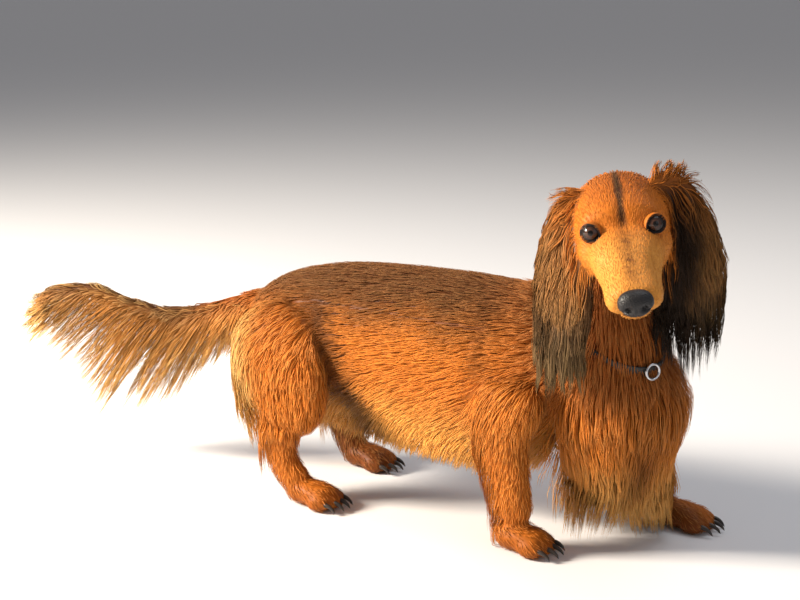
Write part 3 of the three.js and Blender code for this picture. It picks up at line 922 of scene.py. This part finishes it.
def scatter(skin, look, chosen, count, rng):
    """Tuft roots spread over the chosen triangles, as many on each as its area times its weight asks for.
    A root is (1 - sqrt a) A + sqrt a (1 - b) B + sqrt a b C, and every value of the skin is mixed in the
    same way."""
    mesh = skin.data
    mesh.calc_loop_triangles()
    tris = np.empty(len(mesh.loop_triangles) * 3, np.int32)
    loops = np.empty(len(mesh.loop_triangles) * 3, np.int32)
    mesh.loop_triangles.foreach_get("vertices", tris)
    mesh.loop_triangles.foreach_get("loops", loops)
    tris, loops = tris.reshape(-1, 3), loops.reshape(-1, 3)
    keep = chosen[tris].all(1)
    tris, loops = tris[keep], loops[keep]
    points = vertices_of(mesh)
    a, b, c = (points[tris[:, k]] for k in range(3))
    area = np.linalg.norm(np.cross(b - a, c - a), axis=1) / 2
    total = np.cumsum(area * look["sizes"][tris, NUMBERS.index("weight")].mean(1))
    picked = np.searchsorted(total, (np.arange(count) + rng.random(count)) / count * total[-1])
    picked = np.minimum(picked, len(tris) - 1)
    root, share = np.sqrt(rng.random(count)), rng.random(count)
    weights = np.stack([1 - root, root * (1 - share), root * share], 1)[:, :, None]
    uv = np.empty(len(mesh.loops) * 2, np.float32)
    mesh.uv_layers["OFBake"].data.foreach_get("uv", uv)
    uv = uv.reshape(-1, 2)
    corners = tris[picked]
    own = {name: (look[name][corners] * weights).sum(1) for name in ("lie", "sizes", "colour")}
    own["root"] = (points[corners] * weights).sum(1)
    own["normal"] = unit((normals_of(mesh)[corners] * weights).sum(1))
    own["uv"] = (uv[loops[picked]] * weights).sum(1)
    return own


# Shares of a tuft's own length and height, and millimetres under the skin and above the floor
LENGTH_SPREAD, HEIGHT_SPREAD = (0.72, 1.15), (0.35, 1.0)
ROOT_DEPTH, GROWING_FLOOR, LOWEST_HAIR = 0.6, 0.8, 0.6


def grow(own, tree, steps, rng):
    """Paths of tufts. Each step goes along the lie, bent towards the floor by the tuft's hang. Where hold
    is 1 the lie is the nearest skin's, flattened to its surface, and where hold is low the root's own lie
    is kept. Then the point is set off the skin: held hair at its own height, loose hair at that height or
    more."""
    size = {name: own["sizes"][:, i] for i, name in enumerate(NUMBERS)}
    count = len(own["root"])
    length = size["length"] * rng.uniform(*LENGTH_SPREAD, count)
    level = rng.uniform(*HEIGHT_SPREAD, count)
    sway = mottle(own["root"], 34, 21)[:, None] * 0.12 + rng.normal(0, 0.06, (count, 1))
    hold = size["hold"][:, None]
    p, near, out, lie = own["root"] - own["normal"] * ROOT_DEPTH, own["root"], own["normal"], unit(own["lie"])
    path, outs = [p], [out]
    for k in range(1, steps + 1):
        t = k / steps
        flat = unit(lie - out * dot(lie, out) * hold)
        flat = unit(flat + np.cross(out, flat) * sway)
        hang = (size["hang"] * (0.4 + 0.9 * t))[:, None]
        aim = unit(flat * (1 - hang) - UPWARD * hang + out * 0.25 * (1 - t))
        p = p + aim * (length / steps)[:, None]
        near, out, found = probe(p, tree)
        lie = unit(own["lie"] + (found - own["lie"]) * hold)
        height = dot(p - near, out)[:, 0]
        wanted = size["depth"] * level * ramp(np.full(count, t), 0, 0.75)
        own_height = size["hold"] * wanted + (1 - size["hold"]) * np.maximum(height, wanted)
        p = p + out * (own_height - height)[:, None]
        p[:, 2] = np.maximum(p[:, 2], GROWING_FLOOR)
        path.append(p)
        outs.append(out)
    return np.stack(path, 1), np.stack(outs, 1)


def gathered(path, every, pull, rng):
    """Bends each tuft towards the nearest leading tuft, more towards its tip, so that tips gather in
    locks."""
    leaders = rng.permutation(len(path))[: max(1, len(path) // every)]
    led_by = leaders[nearest_index(path[:, 0], path[leaders, 0])]
    t = np.linspace(0, 1, path.shape[1])[None, :, None]
    return path + (path[led_by] - path) * (pull * t**1.4), led_by


WAVE_ANGLE = 9


def wavy(path, outs, led_by, height, rng):
    """Adds a soft wave across each tuft, in step with its leading tuft: a sine of WAVE_ANGLE radians
    along it, growing with t."""
    t = np.linspace(0, 1, path.shape[1])[None]
    phase = rng.uniform(0, 6.28, len(path))[led_by][:, None]
    across = unit(np.cross(np.gradient(path, axis=1), outs))
    return path + across * (height * t * np.sin(phase + WAVE_ANGLE * t))[:, :, None]


def tuft_mesh(name, path, outs, own, rng, thin=0.2):
    """Tufts as closed blades: at each step a triangle of left edge, ridge and right edge, one point at
    the tip. Half width = width * (0.55 + 1.3 t) * (1 - t) ^ 0.7, and the ridge stands out by thin times
    the full width."""
    count, rows = path.shape[:2]
    t = np.linspace(0, 1, rows)[None, :, None]
    ahead = unit(np.gradient(path, axis=1))
    side = unit(np.cross(ahead, outs))
    roll = rng.normal(0, 0.16, (count, 1, 1))
    side = unit(side * np.cos(roll) + np.cross(side, ahead) * np.sin(roll))
    ridge = np.cross(side, ahead)
    width = own["sizes"][:, NUMBERS.index("width")][:, None, None] * rng.uniform(0.7, 1.3, (count, 1, 1)) / 2
    half = width * (0.55 + 1.3 * t) * (1 - t) ** 0.7
    rings = np.stack([path - side * half, path + ridge * half * thin * 2, path + side * half], 2)[:, :-1]
    verts = np.concatenate([rings.reshape(count, -1, 3), path[:, -1:]], 1)
    per = verts.shape[1]

    r = np.arange(rows - 2)[:, None] * 3
    quads = np.concatenate([np.stack([r[:, 0] + i, r[:, 0] + j, r[:, 0] + 3 + j, r[:, 0] + 3 + i], 1)
                            for i, j in ((0, 1), (1, 2), (2, 0))])
    top = (rows - 2) * 3
    tris = np.array([(top, top + 1, per - 1), (top + 1, top + 2, per - 1), (top + 2, top, per - 1),
                     (0, 2, 1)])
    one = np.concatenate([quads.ravel(), tris.ravel()])
    loops = (one[None] + np.arange(count)[:, None] * per).ravel()
    sizes = np.tile(np.r_[np.full(len(quads), 4), np.full(len(tris), 3)], count)
    starts = np.r_[0, np.cumsum(sizes)[:-1]]

    across = np.r_[np.tile([0.0, 0.5, 1.0], rows - 1), 0.5]
    along = np.r_[np.repeat(np.linspace(0, 1, rows)[:-1], 3), 1.0]
    strand = np.stack([across, along], 1)[one]
    patch = (strand - 0.5) * (0.0024, 0.003)
    patch[-3:] += [(0, 0), (0, -0.0004), (0, 0)]
    bake = np.clip(own["uv"][:, None] + patch[None], 0.001, 0.999)

    mesh = bpy.data.meshes.new(name)
    mesh.vertices.add(count * per)
    mesh.vertices.foreach_set("co", to_frame(verts).astype(np.float32).ravel())
    mesh.loops.add(len(loops))
    mesh.loops.foreach_set("vertex_index", loops.astype(np.int32))
    mesh.polygons.add(len(starts))
    mesh.polygons.foreach_set("loop_start", starts.astype(np.int32))
    mesh.update(calc_edges=True)
    mesh.shade_smooth()
    for layer, values in (("OFBake", bake), ("strand", np.broadcast_to(strand, (count, *strand.shape)))):
        mesh.uv_layers.new(name=layer).data.foreach_set("uv", values.astype(np.float32).ravel())

    shade = 1 + own["sizes"][:, NUMBERS.index("contrast")] * rng.uniform(-1, 1, count)
    tone = np.concatenate([np.repeat(np.linspace(0, 1, rows)[:-1], 3), [1.0]])[None, :, None]
    base = own["colour"][:, None, :3] * shade[:, None, None]
    # pale tips toward STRAW: partly the hair's own paler tips, partly painted light glowing through the
    # fringes
    pale = own["colour"][:, 3][:, None, None] * rng.uniform(0.6, 1.3, (count, 1, 1))
    # painted shade darkens each tuft towards its root
    colour = base * (0.76 + 0.24 * ramp(tone, 0, 0.45)) * (1 - pale * tone**1.5) + STRAW * pale * tone**1.5
    rgba = np.concatenate([colour, np.ones((*colour.shape[:2], 1))], 2)
    store(mesh, "coat", "FLOAT_COLOR", rgba)
    store(mesh, "tuft", "FLOAT", np.repeat(rng.random(count), per))
    return new_object(name, mesh)


# Materials
def shader(name, roughness=0.5, **sockets):
    """A material with a Principled shader whose sockets hold plain values. Returns it, its nodes, its
    links and the shader."""
    material = bpy.data.materials.new(name)
    material.use_nodes = True
    nodes, links = material.node_tree.nodes, material.node_tree.links
    principled = nodes["Principled BSDF"]
    principled.inputs["Roughness"].default_value = roughness
    for socket, value in sockets.items():
        principled.inputs[socket.replace("_", " ")].default_value = value
    return material, nodes, links, principled


def hair_group():
    """Streaks from noise at the given place: it lightens and darkens the colour, roughens the gloss and
    raises the bump."""
    tree = bpy.data.node_groups.new("hair streaks", "ShaderNodeTree")
    for name, kind, way in (("Colour", "NodeSocketColor", "INPUT"), ("Vector", "NodeSocketVector", "INPUT"),
                            ("Scale", "NodeSocketFloat", "INPUT"), ("Contrast", "NodeSocketFloat", "INPUT"),
                            ("Colour", "NodeSocketColor", "OUTPUT"),
                            ("Roughness", "NodeSocketFloat", "OUTPUT"),
                            ("Height", "NodeSocketFloat", "OUTPUT")):
        tree.interface.new_socket(name, in_out=way, socket_type=kind)
    start, end = tree.nodes.new("NodeGroupInput"), tree.nodes.new("NodeGroupOutput")
    noise = tree.nodes.new("ShaderNodeTexNoise")
    noise.inputs["Detail"].default_value = 3
    tree.links.new(start.outputs["Vector"], noise.inputs["Vector"])
    tree.links.new(start.outputs["Scale"], noise.inputs["Scale"])
    centred = tree.nodes.new("ShaderNodeMath")
    centred.operation = "SUBTRACT"
    tree.links.new(noise.outputs["Fac"], centred.inputs[0])
    centred.inputs[1].default_value = 0.5
    gain = tree.nodes.new("ShaderNodeMath")
    gain.operation = "MULTIPLY_ADD"
    tree.links.new(centred.outputs[0], gain.inputs[0])
    tree.links.new(start.outputs["Contrast"], gain.inputs[1])
    gain.inputs[2].default_value = 1.0
    lit = tree.nodes.new("ShaderNodeVectorMath")
    lit.operation = "SCALE"
    tree.links.new(start.outputs["Colour"], lit.inputs[0])
    tree.links.new(gain.outputs[0], lit.inputs["Scale"])
    tree.links.new(lit.outputs[0], end.inputs["Colour"])
    rough = tree.nodes.new("ShaderNodeMapRange")
    rough.inputs["To Min"].default_value = 0.38
    rough.inputs["To Max"].default_value = 0.62
    tree.links.new(noise.outputs["Fac"], rough.inputs["Value"])
    tree.links.new(rough.outputs[0], end.inputs["Roughness"])
    tree.links.new(noise.outputs["Fac"], end.inputs["Height"])
    return tree


def coat_material(name, group, contrast):
    """Hair of a tuft: its own colour, streaked along the tuft's strand map, each tuft from another place
    of the noise."""
    material, nodes, links, principled = shader(name, Specular_IOR_Level=0.2)
    principled.inputs["Specular Tint"].default_value = (1, 0.66, 0.36, 1)
    colour, chance = nodes.new("ShaderNodeAttribute"), nodes.new("ShaderNodeAttribute")
    colour.attribute_name, chance.attribute_name = "coat", "tuft"
    strand = nodes.new("ShaderNodeUVMap")
    strand.uv_map = "strand"
    place = nodes.new("ShaderNodeVectorMath")
    place.operation = "MULTIPLY_ADD"
    place.inputs[1].default_value = (1.0, 0.16, 0)
    links.new(strand.outputs[0], place.inputs[0])
    spread = nodes.new("ShaderNodeVectorMath")
    spread.operation = "SCALE"
    spread.inputs[0].default_value = (37, 91, 53)
    links.new(chance.outputs["Fac"], spread.inputs["Scale"])
    links.new(spread.outputs[0], place.inputs[2])
    return finish_hair(material, nodes, links, principled, group, colour.outputs["Color"], place.outputs[0],
                       5.0, contrast,
                       0.0004)


def finish_hair(material, nodes, links, principled, group, colour, vector, scale, contrast, depth):
    """Lays the streaks at vector over the colour, with a bump that many metres deep."""
    streaks = nodes.new("ShaderNodeGroup")
    streaks.node_tree = group
    links.new(colour, streaks.inputs["Colour"])
    links.new(vector, streaks.inputs["Vector"])
    streaks.inputs["Scale"].default_value = scale
    streaks.inputs["Contrast"].default_value = contrast
    bump = nodes.new("ShaderNodeBump")
    bump.inputs["Distance"].default_value = depth
    bump.inputs["Strength"].default_value = 0.6
    links.new(streaks.outputs["Height"], bump.inputs["Height"])
    links.new(streaks.outputs["Colour"], principled.inputs["Base Color"])
    links.new(streaks.outputs["Roughness"], principled.inputs["Roughness"])
    links.new(bump.outputs["Normal"], principled.inputs["Normal"])
    return material


def skin_material(group):
    """The coat seen between tufts and on the short-haired face: its own markings, streaked along the
    body, or along the muzzle on the face."""
    material, nodes, links, principled = shader("skin", Specular_IOR_Level=0.15)
    colour, combed = nodes.new("ShaderNodeAttribute"), nodes.new("ShaderNodeAttribute")
    colour.attribute_name, combed.attribute_name = "coat", "combed"
    return finish_hair(material, nodes, links, principled, group, colour.outputs["Color"],
                       combed.outputs["Vector"], 1.0, 0.5,
                       0.0003)


def store(mesh, name, kind, values):
    """An attribute on the mesh's points."""
    field = {"FLOAT_VECTOR": "vector", "FLOAT": "value", "FLOAT_COLOR": "color"}[kind]
    layers = mesh.color_attributes if kind == "FLOAT_COLOR" else mesh.attributes
    made = layers.new(name, kind, "POINT")
    made.data.foreach_set(field, values.astype(np.float32).ravel())


def unwrap(piece):
    """The skin's own unwrap, cut where the surface turns."""
    bpy.context.view_layer.objects.active = piece
    piece.select_set(True)
    piece.data.uv_layers.new(name="OFBake")
    bpy.ops.object.mode_set(mode="EDIT")
    bpy.ops.mesh.select_all(action="SELECT")
    bpy.ops.uv.smart_project(angle_limit=math.radians(70), island_margin=0.001)
    bpy.ops.object.mode_set(mode="OBJECT")
    piece.select_set(False)


flesh_parts = flesh()
skin = make_skin(flesh_parts)
unwrap(skin)
look = dress(skin, flesh_parts)
skin_points = vertices_of(skin.data)
is_face = (look["region"] == CODE["head"]) | (look["region"] == CODE["jaw"])
combed = mix(skin_points * (0.12, 1, 1), in_head(skin_points) * (0.16, 1.3, 1.3), is_face.astype(float))
# painted shade: the skin between the tufts gets the coat colour darkened, less on the short-haired face
shaded_skin_colour = look["colour"][:, :3] * np.where(is_face, 0.85, 0.6)[:, None]
store(skin.data, "lie", "FLOAT_VECTOR", look["lie"])
store(skin.data, "combed", "FLOAT_VECTOR", combed)
store(skin.data, "coat", "FLOAT_COLOR", np.concatenate([shaded_skin_colour, np.ones((len(shaded_skin_colour), 1))], 1))
streaks = hair_group()
skin.data.materials.append(skin_material(streaks))
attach(skin, "root")
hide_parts("head", "lower_jaw", "ear_left", "ear_right", "trunk", "neck", "breast", "tail_root",
            "tail_end", *(f"{part}_{side}" for part in ("foreleg", "forepaw", "thigh", "hock", "hindpaw")
                          for side in ("left", "right")))

# The coat, piece by piece: points, tufts, steps along a tuft, tufts to a lock, pull of the lock, wave in
# mm, slot
region, skin_normals = look["region"], normals_of(skin.data)
on = {name: region == CODE[name] for name in REGIONS}
top_of_back = skin_normals[:, 2] > 0.5
right_side = skin_points[:, 1] < 0
COAT = {
    "coat_back": (on["trunk"] & top_of_back, 6800, 4, 7, 0.22, 0.5, "coat_back"),
    "coat_flank_right": (on["trunk"] & ~top_of_back & right_side, 7500, 4, 8, 0.4, 0.8, "coat_flank"),
    "coat_flank_left": (on["trunk"] & ~top_of_back & ~right_side, 7500, 4, 8, 0.4, 0.8, "coat_flank"),
    "coat_neck": (on["neck"], 5400, 5, 9, 0.35, 1.0, "coat_flank"),
    "coat_breast": (on["breast"], 4600, 6, 12, 0.5, 1.6, "coat_fringe"),
    "coat_face": (on["head"] | on["jaw"], 8500, 3, 6, 0.2, 0.0, "coat_face"),
    "coat_ear_right": (on["ear_right"], 2700, 6, 10, 0.7, 2.0, "coat_ear"),
    "coat_ear_left": (on["ear_left"], 2700, 6, 10, 0.7, 2.0, "coat_ear"),
    "coat_forelegs": (on["foreleg"], 4000, 4, 8, 0.3, 0.6, "coat_leg"),
    "coat_thighs": (on["thigh"], 4800, 5, 10, 0.42, 1.2, "coat_flank"),
    "coat_feet": (on["hock"] | on["paw"], 3600, 3, 6, 0.3, 0.2, "coat_leg"),
    "coat_tail": (on["tail"], 3600, 7, 14, 0.72, 2.0, "coat_fringe"),
}
tree = skin_probe(skin)
STREAKS = {"coat_back": 0.7, "coat_flank": 0.7, "coat_fringe": 0.8, "coat_face": 0.6, "coat_ear": 0.9,
           "coat_leg": 0.7}
hair = {slot: coat_material(slot, streaks, contrast) for slot, contrast in STREAKS.items()}
for seed, (name, (chosen, count, steps, every, pull, wave, slot)) in enumerate(COAT.items()):
    rng = np.random.default_rng(100 + seed)
    own = scatter(skin, look, chosen, count, rng)
    path, outs = grow(own, tree, steps, rng)
    path, led_by = gathered(path, every, pull, rng)
    path = wavy(path, outs, led_by, wave, rng)
    path[:, :, 2] = np.maximum(path[:, :, 2], LOWEST_HAIR)
    piece = tuft_mesh(name, path, outs, own, rng)
    piece.data.materials.append(hair[slot])
    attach(piece, "root")


# Eyes, nose, claws and collar
def eye_material():
    """A dark eye under a clear coat: pupil, brown iris, dark ring and brown rim by the angle to the gaze,
    with edges shaken by noise."""
    material, nodes, links, principled = shader("eye", 0.25, Coat_Weight=0.5, Coat_Roughness=0.03,
                                                Specular_IOR_Level=0.12)
    gaze = nodes.new("ShaderNodeAttribute")
    gaze.attribute_name = "gaze"
    noise = nodes.new("ShaderNodeTexNoise")
    noise.inputs["Scale"].default_value = 900
    rings = nodes.new("ShaderNodeValToRGB")
    stops = ((0.0, (0.004, 0.003, 0.003)), (0.27, (0.006, 0.004, 0.003)), (0.33, (0.075, 0.034, 0.022)),
             (0.62, (0.045, 0.02, 0.013)), (0.72, (0.008, 0.005, 0.004)), (1.0, (0.03, 0.02, 0.016)))
    elements = rings.color_ramp.elements
    elements[0].color, elements[1].color = (*stops[0][1], 1), (*stops[-1][1], 1)
    for place, colour in stops[1:-1]:
        elements.new(place).color = (*colour, 1)
    coordinates = nodes.new("ShaderNodeTexCoord")
    links.new(coordinates.outputs["Object"], noise.inputs["Vector"])
    shake = nodes.new("ShaderNodeMath")
    shake.operation = "MULTIPLY_ADD"
    shake.inputs[1].default_value = 0.1
    links.new(noise.outputs["Fac"], shake.inputs[0])
    links.new(gaze.outputs["Fac"], shake.inputs[2])
    links.new(shake.outputs[0], rings.inputs["Fac"])
    links.new(rings.outputs["Color"], principled.inputs["Base Color"])
    return material


def make_eye(side, material):
    """A ball whose front bulges a little as the cornea does, with the angle to the gaze stored on it as a
    share of 60 degrees."""
    gaze = unit(np.array([0.90, side * 0.16, 0.36]))
    verts, faces = shell(ball((0, 0, 0), (1, 1, 1), 40, 64))
    angle = np.degrees(np.arccos(np.clip(verts @ gaze, -1, 1)))
    bulge = 0.5 * np.exp(-((angle / 24) ** 2))
    points = EYE_CENTRE[side] + verts * (EYE_RADIUS + bulge - 0.1)[:, None]
    name = "eyeball_left" if side > 0 else "eyeball_right"
    piece = solid(name, from_head(points), faces, material)
    store(piece.data, "gaze", "FLOAT", angle / 60)
    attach(piece, "root")
    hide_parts("eye_left" if side > 0 else "eye_right")


def nose_material():
    """Pebbled dark leather: cells for the pebbles, noise for worn paler patches."""
    material, nodes, links, principled = shader("nose", 0.45, Coat_Weight=0.12, Coat_Roughness=0.25,
                                                Specular_IOR_Level=0.35)
    coordinates, cells = nodes.new("ShaderNodeTexCoord"), nodes.new("ShaderNodeTexVoronoi")
    cells.inputs["Scale"].default_value = 950
    patches, tint = nodes.new("ShaderNodeTexNoise"), nodes.new("ShaderNodeValToRGB")
    bump = nodes.new("ShaderNodeBump")
    patches.inputs["Scale"].default_value = 120
    tint.color_ramp.elements[0].color = (0.009, 0.008, 0.009, 1)
    tint.color_ramp.elements[1].color = (0.028, 0.023, 0.023, 1)
    tint.color_ramp.elements[0].position = 0.35
    bump.inputs["Distance"].default_value = 0.0006
    bump.inputs["Strength"].default_value = 0.7
    bump.invert = True
    for node in (cells, patches):
        links.new(coordinates.outputs["Object"], node.inputs["Vector"])
    links.new(patches.outputs["Fac"], tint.inputs["Fac"])
    links.new(tint.outputs["Color"], principled.inputs["Base Color"])
    links.new(cells.outputs["Distance"], bump.inputs["Height"])
    links.new(bump.outputs["Normal"], principled.inputs["Normal"])
    return material


def make_nose():
    """A rounded pad, narrower below, less two nostrils with slits curling out to the sides and a groove
    between them."""
    verts, faces = shell(ball((0, 0, 0), (1, 1, 1), 90, 120))
    x, y, z = np.sign(verts.T) * np.abs(verts.T) ** 0.86
    points = np.stack([94 + 9.5 * x, 15.0 * y * (1 - 0.22 * ramp(-z, 0, 1)), -27.5 + 11.5 * z], 1)
    front = ramp(points[:, 0], 94, 99)
    dent = np.zeros(len(points))
    for side in (-1, 1):
        dent += 5.0 * np.exp(-(((points[:, 1] - side * 6.6) / 2.9) ** 2 + ((points[:, 2] + 30.0) / 2.6) ** 2))
        dent += 3.2 * np.exp(-(((points[:, 1] - side * 10.8) / 3.2) ** 2
                               + ((points[:, 2] + 32.4) / 1.3) ** 2))
    dent += 1.1 * np.exp(-((points[:, 1] / 0.9) ** 2)) * ramp(-points[:, 2], 26, 30)
    points[:, 0] -= dent * np.maximum(front, 0.35 * ramp(points[:, 0], 88, 94))
    piece = solid("nose_pad", from_head(points), faces, nose_material())
    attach(piece, "root")
    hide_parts("nose")


def make_claws(material):
    """Four curved, tapering claws for each paw."""
    for legs, pair in ((FORE, "fore"), (HIND, "hind")):
        for side, word in ((-1, "right"), (1, "left")):
            tip, y = legs[side]["paw"][1], legs[side]["y"]
            shells = []
            for place in TOES:
                root, across = tip - 7 - abs(place) * 4, y + place * 10.5
                shells.append(shell(loft([(root, across, 9.5, 2.3, 2.5, 2.5),
                                          (root + 7, across, 8.6, 2.0, 2.2, 2.2),
                                          (root + 12, across, 6, 1.4, 1.5, 1.5),
                                          (root + 15, across, 2.4, 0.6, 0.6, 0.6)],
                                         UPWARD, 16, 14, (0.2, 0.25))))
            piece = solid(f"claws_{pair}_{word}", *joined(shells), material)
            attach(piece, "root")
            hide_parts(*(f"claw_{pair}_{word}_{i}" for i in range(1, 5)))


def plain_noise_material(name, low, high, scale, roughness, bump_depth=0.0, **sockets):
    """Two colours mixed by noise, with the same noise as a bump."""
    material, nodes, links, principled = shader(name, roughness, **sockets)
    coordinates, noise = nodes.new("ShaderNodeTexCoord"), nodes.new("ShaderNodeTexNoise")
    tint = nodes.new("ShaderNodeValToRGB")
    noise.inputs["Scale"].default_value = scale
    noise.inputs["Detail"].default_value = 4
    tint.color_ramp.elements[0].color = (*low, 1)
    tint.color_ramp.elements[1].color = (*high, 1)
    links.new(coordinates.outputs["Object"], noise.inputs["Vector"])
    links.new(noise.outputs["Fac"], tint.inputs["Fac"])
    links.new(tint.outputs["Color"], principled.inputs["Base Color"])
    if bump_depth:
        bump = nodes.new("ShaderNodeBump")
        bump.inputs["Distance"].default_value = bump_depth
        links.new(noise.outputs["Fac"], bump.inputs["Height"])
        links.new(bump.outputs["Normal"], principled.inputs["Normal"])
    return material


COLLAR_CENTRE, COLLAR_SLOPE, COLLAR_TURN = np.array([214.0, 0.0, 217.0]), math.radians(34), math.radians(-32)
NECK_OUTLINE = [(212, 0, 138, 70, 84, 76), (214, 0, 190, 62, 76, 66), (214, 3, 238, 52, 54, 48),
                (219, 8, 284, 45, 42, 39),
                (226, 12, 318, 38, 30, 32)]
STRAP_DEPTH = 14.5
RING_PLACE = np.array([281.0, -23.0, 175.0])


def make_collar():
    """A flat strap where a sloping plane cuts the neck: on each line along the neck, the place where its
    distance to the plane changes sign. The strap's profile is an oblong with a raised middle and a groove
    along each edge, sunk into the hair by STRAP_DEPTH. The ring is a round wire with its middle at
    RING_PLACE."""
    axis = np.array(Matrix.Rotation(COLLAR_TURN, 3, "Z") @ Matrix.Rotation(COLLAR_SLOPE, 3, "Y")) @ UPWARD
    grid = loft(NECK_OUTLINE, FORWARD, 60, 120)
    height = (grid - COLLAR_CENTRE) @ axis
    row = np.argmax(height[1:] * height[:-1] <= 0, 0)
    column = np.arange(grid.shape[1])
    low, high = height[row, column], height[row + 1, column]
    share = (low / (low - high))[:, None]
    line = grid[row, column] * (1 - share) + grid[row + 1, column] * share
    line = relaxed(line, np.stack([column, np.roll(column, -1)], 1), 6)
    ahead = unit(np.roll(line, -1, 0) - np.roll(line, 1, 0))
    side = unit(np.broadcast_to(axis, ahead.shape) - ahead * (ahead @ axis)[:, None])
    out = np.cross(ahead, side)
    out = out * np.sign(((line - line.mean(0)) * out).sum(1).mean())
    profile = [(-6.5, -1.0), (-6.5, 0.4), (-5.8, 1.0), (-4.6, 0.8), (-3.6, 1.3), (0, 1.6), (3.6, 1.3),
               (4.6, 0.8), (5.8, 1.0),
               (6.5, 0.4), (6.5, -1.0), (0, -1.2)]
    strap = plain_noise_material("collar_strap", (0.006, 0.005, 0.005), (0.03, 0.024, 0.02), 420, 0.5, 0.0003)
    steel = plain_noise_material("collar_steel", (0.42, 0.42, 0.44), (0.72, 0.72, 0.74), 260, 0.24,
                                 Metallic=1.0)
    band = solid("collar_strap", *tube(line - out * STRAP_DEPTH, side, out, profile), strap)
    turn = np.linspace(0, 2 * np.pi, 48, endpoint=False)
    flat = np.array([math.cos(math.radians(60)), math.sin(math.radians(60)), 0])
    circle = RING_PLACE + 7 * (np.cos(turn)[:, None] * flat + np.sin(turn)[:, None] * UPWARD)
    outward = unit(circle - RING_PLACE)
    a = np.linspace(0, 2 * np.pi, 12, endpoint=False)
    wire = np.stack([1.3 * np.cos(a), 1.3 * np.sin(a)], 1)
    ring = solid("collar_loop", *tube(circle, np.broadcast_to(np.cross(flat, UPWARD), circle.shape),
                                      outward, wire), steel)
    for piece, slot, node in ((band, "collar_strap", "collar_band"), (ring, "collar_steel", "collar_ring")):
        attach(piece, "root")
        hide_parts(node)


eye_gloss = eye_material()
for side in (-1, 1):
    make_eye(side, eye_gloss)
make_nose()
make_claws(plain_noise_material("claw_horn", (0.012, 0.009, 0.008), (0.05, 0.035, 0.026), 300, 0.35, 0.0002))
make_collar()


# Floor, light and camera
def plain(name, colour, roughness=0.9):
    """A material of one colour."""
    material, _, _, principled = shader(name, roughness)
    principled.inputs["Base Color"].default_value = (*colour, 1)
    return material


floor_mesh = bpy.data.meshes.new("floor")
floor_mesh.from_pydata([(-200, -200, 0), (200, -200, 0), (200, 200, 0), (-200, 200, 0)], [], [(0, 1, 2, 3)])
floor_mesh.materials.append(plain("floor", (0.80, 0.80, 0.82)))
new_object("floor", floor_mesh)

AZIMUTH, ELEVATION, DISTANCE, LENS = math.radians(32), math.radians(12), 1.55, 70
target = Vector(to_frame([0, 0, 205]))


def around_target(azimuth, elevation, distance):
    """The point at that azimuth, elevation and distance from the camera's target."""
    return target + distance * Vector((math.sin(azimuth) * math.cos(elevation),
                                       -math.cos(azimuth) * math.cos(elevation),
                                       math.sin(elevation)))


camera = bpy.data.objects.new("camera", bpy.data.cameras.new("camera"))
camera.location = around_target(AZIMUTH, ELEVATION, DISTANCE)
camera.rotation_euler = (target - camera.location).to_track_quat("-Z", "Y").to_euler()
camera.data.lens = LENS
camera.data.sensor_width = 36
bpy.context.scene.collection.objects.link(camera)
bpy.context.scene.camera = camera


def soft_light(name, azimuth, elevation, distance, size, watts, colour):
    """A square lamp that faces the camera's target, placed by angles in degrees and metres."""
    light = bpy.data.lights.new(name, "AREA")
    light.size, light.energy, light.color = size, watts, colour
    lamp = bpy.data.objects.new(name, light)
    lamp.location = around_target(math.radians(azimuth), math.radians(elevation), distance)
    lamp.rotation_euler = (target - lamp.location).to_track_quat("-Z", "Y").to_euler()
    bpy.context.scene.collection.objects.link(lamp)


soft_light("key", -56, 25, 2.6, 0.7, 200, (1.0, 0.90, 0.76))
soft_light("fill", 75, 25, 3.0, 2.0, 8, (0.86, 0.92, 1.0))
soft_light("top", 150, 70, 2.6, 1.6, 20, (0.95, 0.97, 1.0))
world = bpy.data.worlds.new("studio")
world.use_nodes = True
world.node_tree.nodes["Background"].inputs["Color"].default_value = (0.95, 0.94, 0.96, 1)
world.node_tree.nodes["Background"].inputs["Strength"].default_value = 0.26
bpy.context.scene.world = world
bpy.context.scene.view_settings.view_transform = "Standard"
